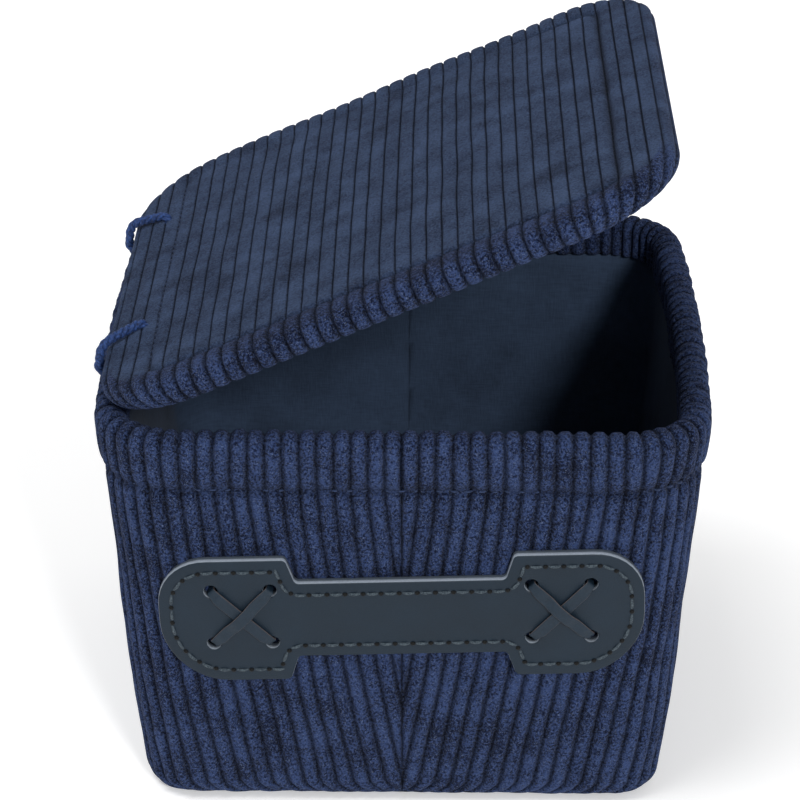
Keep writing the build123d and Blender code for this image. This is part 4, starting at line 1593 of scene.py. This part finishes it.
def lace_path(side, slope, over):
    """The middle line of a lace on the pull's plane, and how far it dips at each point."""
    sizes = settings("handle_sizes")
    dx, dy = sizes.hole_x / 2, slope * sizes.hole_y / 2
    half = math.hypot(dx, dy)
    share = np.concatenate([np.full(6, -1.0), np.linspace(-1, 1, 41), np.full(6, 1.0)])
    sink = np.concatenate([np.linspace(1, 0, 7)[:6], np.zeros(41), np.linspace(0, 1, 7)[1:]])
    thickness = sizes.lace_thickness
    hump = over * thickness * 1.15 * np.exp(-((share * half / LACE_HUMP_REACH) ** 4))
    dip = smooth_step(np.abs(share), 0.72, 1.0)
    top = sizes.backing + sizes.leather + thickness / 2
    level = top + LACE_LIFT + hump - dip * thickness * 0.9 - sink * LACE_DEPTH
    along = share * (half - LACE_SHORTENING) / half
    middle = side * (sizes.length / 2 - sizes.hole_inset)
    path = np.stack([middle + along * dx, sizes.hole_rise + along * dy, level], axis=-1)
    squeeze = 1 - 0.22 * dip - 0.1 * (sink > 0)
    return path, np.array([-dy / half, dx / half, 0.0]), squeeze


def lace(side, slope, over):
    """A flat lace across one tab, dipping into a hole at each end."""
    sizes = settings("handle_sizes")
    path, side_way, squeeze = lace_path(side, slope, over)
    turn = np.linspace(0, 2 * np.pi, 20, endpoint=False)
    flat_x = np.sign(np.cos(turn)) * np.abs(np.cos(turn)) ** 0.45
    flat_y = np.sign(np.sin(turn)) * np.abs(np.sin(turn)) ** 0.75
    cup = LACE_CUP * flat_x**2
    up = np.cross(unit(np.gradient(path, axis=0)), side_way)
    up *= np.where(up[:, 2] < 0, -1, 1)[:, None]
    width = sizes.lace_width / 2 * squeeze
    ring = (
        path[:, None]
        + flat_x[None, :, None] * side_way * width[:, None, None]
        + (flat_y * sizes.lace_thickness / 2 + cup)[None, :, None] * up[:, None]
    )
    points, faces = capped(ring, path)
    edge = np.tile(np.abs(flat_x) > 0.93, len(path)).astype(float)
    edge = np.concatenate([edge, [0.0, 0.0]])
    place = f"{'left' if side < 0 else 'right'}_{'over' if over else 'under'}"
    placed, replaced = HandlePlane().place(points), [f"handle_lace_{place}"]
    return make_piece(
        f"lace_{place}", placed, faces, "lace_leather", "bin", replaced, {"edge": edge}
    )


# ---- operators ------------------------------------------------------------
class BuildStage(bpy.types.Operator):
    """Makes the floor, the lights, the surround and the camera"""

    bl_idname = "storage_bin.stage"
    bl_label = "Stage"

    def execute(self, context):
        stage = settings("stage_sizes")
        scene = context.scene
        scene.view_settings.view_transform = "Standard"
        world = bpy.data.worlds.new("white_surround")
        world.use_nodes = True
        background = world.node_tree.nodes["Background"]
        background.inputs["Color"].default_value = (1.0, 1.0, 1.0, 1.0)
        background.inputs["Strength"].default_value = stage.sky
        scene.world = world
        mesh = bpy.data.meshes.new("floor")
        half = stage.floor_width / 2
        corners = [(-half, -half, 0), (half, -half, 0), (half, half, 0), (-half, half, 0)]
        mesh.from_pydata(corners, [], [(0, 1, 2, 3)])
        mesh.materials.append(material("pale_floor"))
        floor = bpy.data.objects.new("floor", mesh)
        scene.collection.objects.link(floor)
        self.light("key", (0.29, -0.84, 0.46), stage.key, stage.key_softness)
        self.light("top", (-0.35, -0.20, 0.92), stage.top, stage.top_softness)
        self.camera(scene, stage)
        return {"FINISHED"}

    def light(self, name, place, strength, softness):
        lamp = bpy.data.lights.new(name, "SUN")
        lamp.energy = strength
        lamp.angle = softness
        holder = bpy.data.objects.new(name, lamp)
        holder.location = place
        holder.rotation_euler = (-Vector(place)).to_track_quat("-Z", "Y").to_euler()
        bpy.context.scene.collection.objects.link(holder)

    def camera(self, scene, stage):
        data = bpy.data.cameras.new("camera")
        data.sensor_width = 36.0
        data.lens = stage.lens
        holder = bpy.data.objects.new("camera", data)
        scene.collection.objects.link(holder)
        forward = Vector(
            (
                math.sin(stage.yaw) * math.cos(stage.pitch),
                math.cos(stage.yaw) * math.cos(stage.pitch),
                -math.sin(stage.pitch),
            )
        )
        right = Vector((math.cos(stage.yaw), -math.sin(stage.yaw), 0))
        aim = Vector((0, 0, stage.aim_height))
        holder.location = aim - forward * stage.distance + right * stage.aim_side
        holder.rotation_euler = forward.to_track_quat("-Z", "Y").to_euler()
        scene.camera = holder


class BuildCords(bpy.types.Operator):
    """Makes the two twisted cord loops that tie the lid on"""

    bl_idname = "storage_bin.cords"
    bl_label = "Hinge cords"

    def execute(self, context):
        for place in ("front", "rear"):
            hinge_cord(place)
        return {"FINISHED"}


class BuildCovers(bpy.types.Operator):
    """Makes the ribbed outer cloth and its seam thread"""

    bl_idname = "storage_bin.covers"
    bl_label = "Ribbed covers"

    def execute(self, context):
        for side in ("left", "right"):
            outer_cover(side)
        rim_threads()
        return {"FINISHED"}


class BuildLinings(bpy.types.Operator):
    """Makes the lining and the two bottom panels"""

    bl_idname = "storage_bin.linings"
    bl_label = "Linings"

    def execute(self, context):
        for side in ("left", "right"):
            lining_wall(side)
        floor_sheet("lining_cloth_floor", "lining_base", "woven_lining", FLOOR_SAG)
        floor_sheet("base_cloth_panel", "base_cover", "woven_base", 0.0)
        return {"FINISHED"}


class BuildLid(bpy.types.Operator):
    """Makes the lid's ribbed cover, lining and crease stitches"""

    bl_idname = "storage_bin.lid"
    bl_label = "Padded lid"

    def execute(self, context):
        lid_cover()
        lid_lining()
        lid_threads()
        return {"FINISHED"}


class BuildHandle(bpy.types.Operator):
    """Makes the leather pull, its stitches and its laces"""

    bl_idname = "storage_bin.handle"
    bl_label = "Leather pull"

    def execute(self, context):
        sizes = settings("handle_sizes")
        top = sizes.backing + sizes.leather
        back, front = (BACK_ROUND, BACK_EDGE_PALE), (FRONT_ROUND, FRONT_EDGE_PALE)
        flat_layer("handle_back_layer", 0.0, sizes.backing, *back, "handle_backing")
        flat_layer("handle_front_layer", sizes.backing, top, *front, "handle_strap")
        handle_threads()
        for side, slope, over in ((-1, -1, 0), (-1, 1, 1), (1, 1, 0), (1, -1, 1)):
            lace(side, slope, over)
        return {"FINISHED"}


class FinishInside(bpy.types.Operator):
    """Gives the hidden boards and padding their materials"""

    bl_idname = "storage_bin.inside"
    bl_label = "Boards and padding"

    def execute(self, context):
        finishes = {"board": "pressed_card", "foam": "soft_wadding", "filler": "soft_wadding"}
        for name, node in frame["nodes"].items():
            for word, finish in finishes.items():
                if word in name:
                    node.data.materials.clear()
                    node.data.materials.append(material(finish))
        return {"FINISHED"}


class StorageBinPanel(bpy.types.Panel):
    """Lists the bin's sizes and the steps that build it"""

    bl_idname = "VIEW3D_PT_storage_bin"
    bl_label = "Storage bin"
    bl_space_type = "VIEW_3D"
    bl_region_type = "UI"
    bl_category = "Storage bin"

    def draw(self, context):
        for step in STEPS:
            self.layout.operator(step.bl_idname)
        for name, group in SETTINGS.items():
            box = self.layout.box()
            box.label(text=group.__name__)
            for prop in group.__annotations__:
                box.prop(getattr(context.scene, name), prop)


STEPS = (BuildStage, BuildCords, BuildCovers, BuildLinings, BuildLid, BuildHandle, FinishInside)


def register():
    for name, group in SETTINGS.items():
        bpy.utils.register_class(group)
        setattr(bpy.types.Scene, name, bpy.props.PointerProperty(type=group))
    for step in (*STEPS, StorageBinPanel):
        bpy.utils.register_class(step)


def unregister():
    for step in (StorageBinPanel, *reversed(STEPS)):
        bpy.utils.unregister_class(step)
    for name, group in SETTINGS.items():
        delattr(bpy.types.Scene, name)
        bpy.utils.unregister_class(group)


def main():
    register()
    for step in STEPS:
        group, operator = step.bl_idname.split(".")
        getattr(getattr(bpy.ops, group), operator)()


if __name__ == "__main__":
    main()
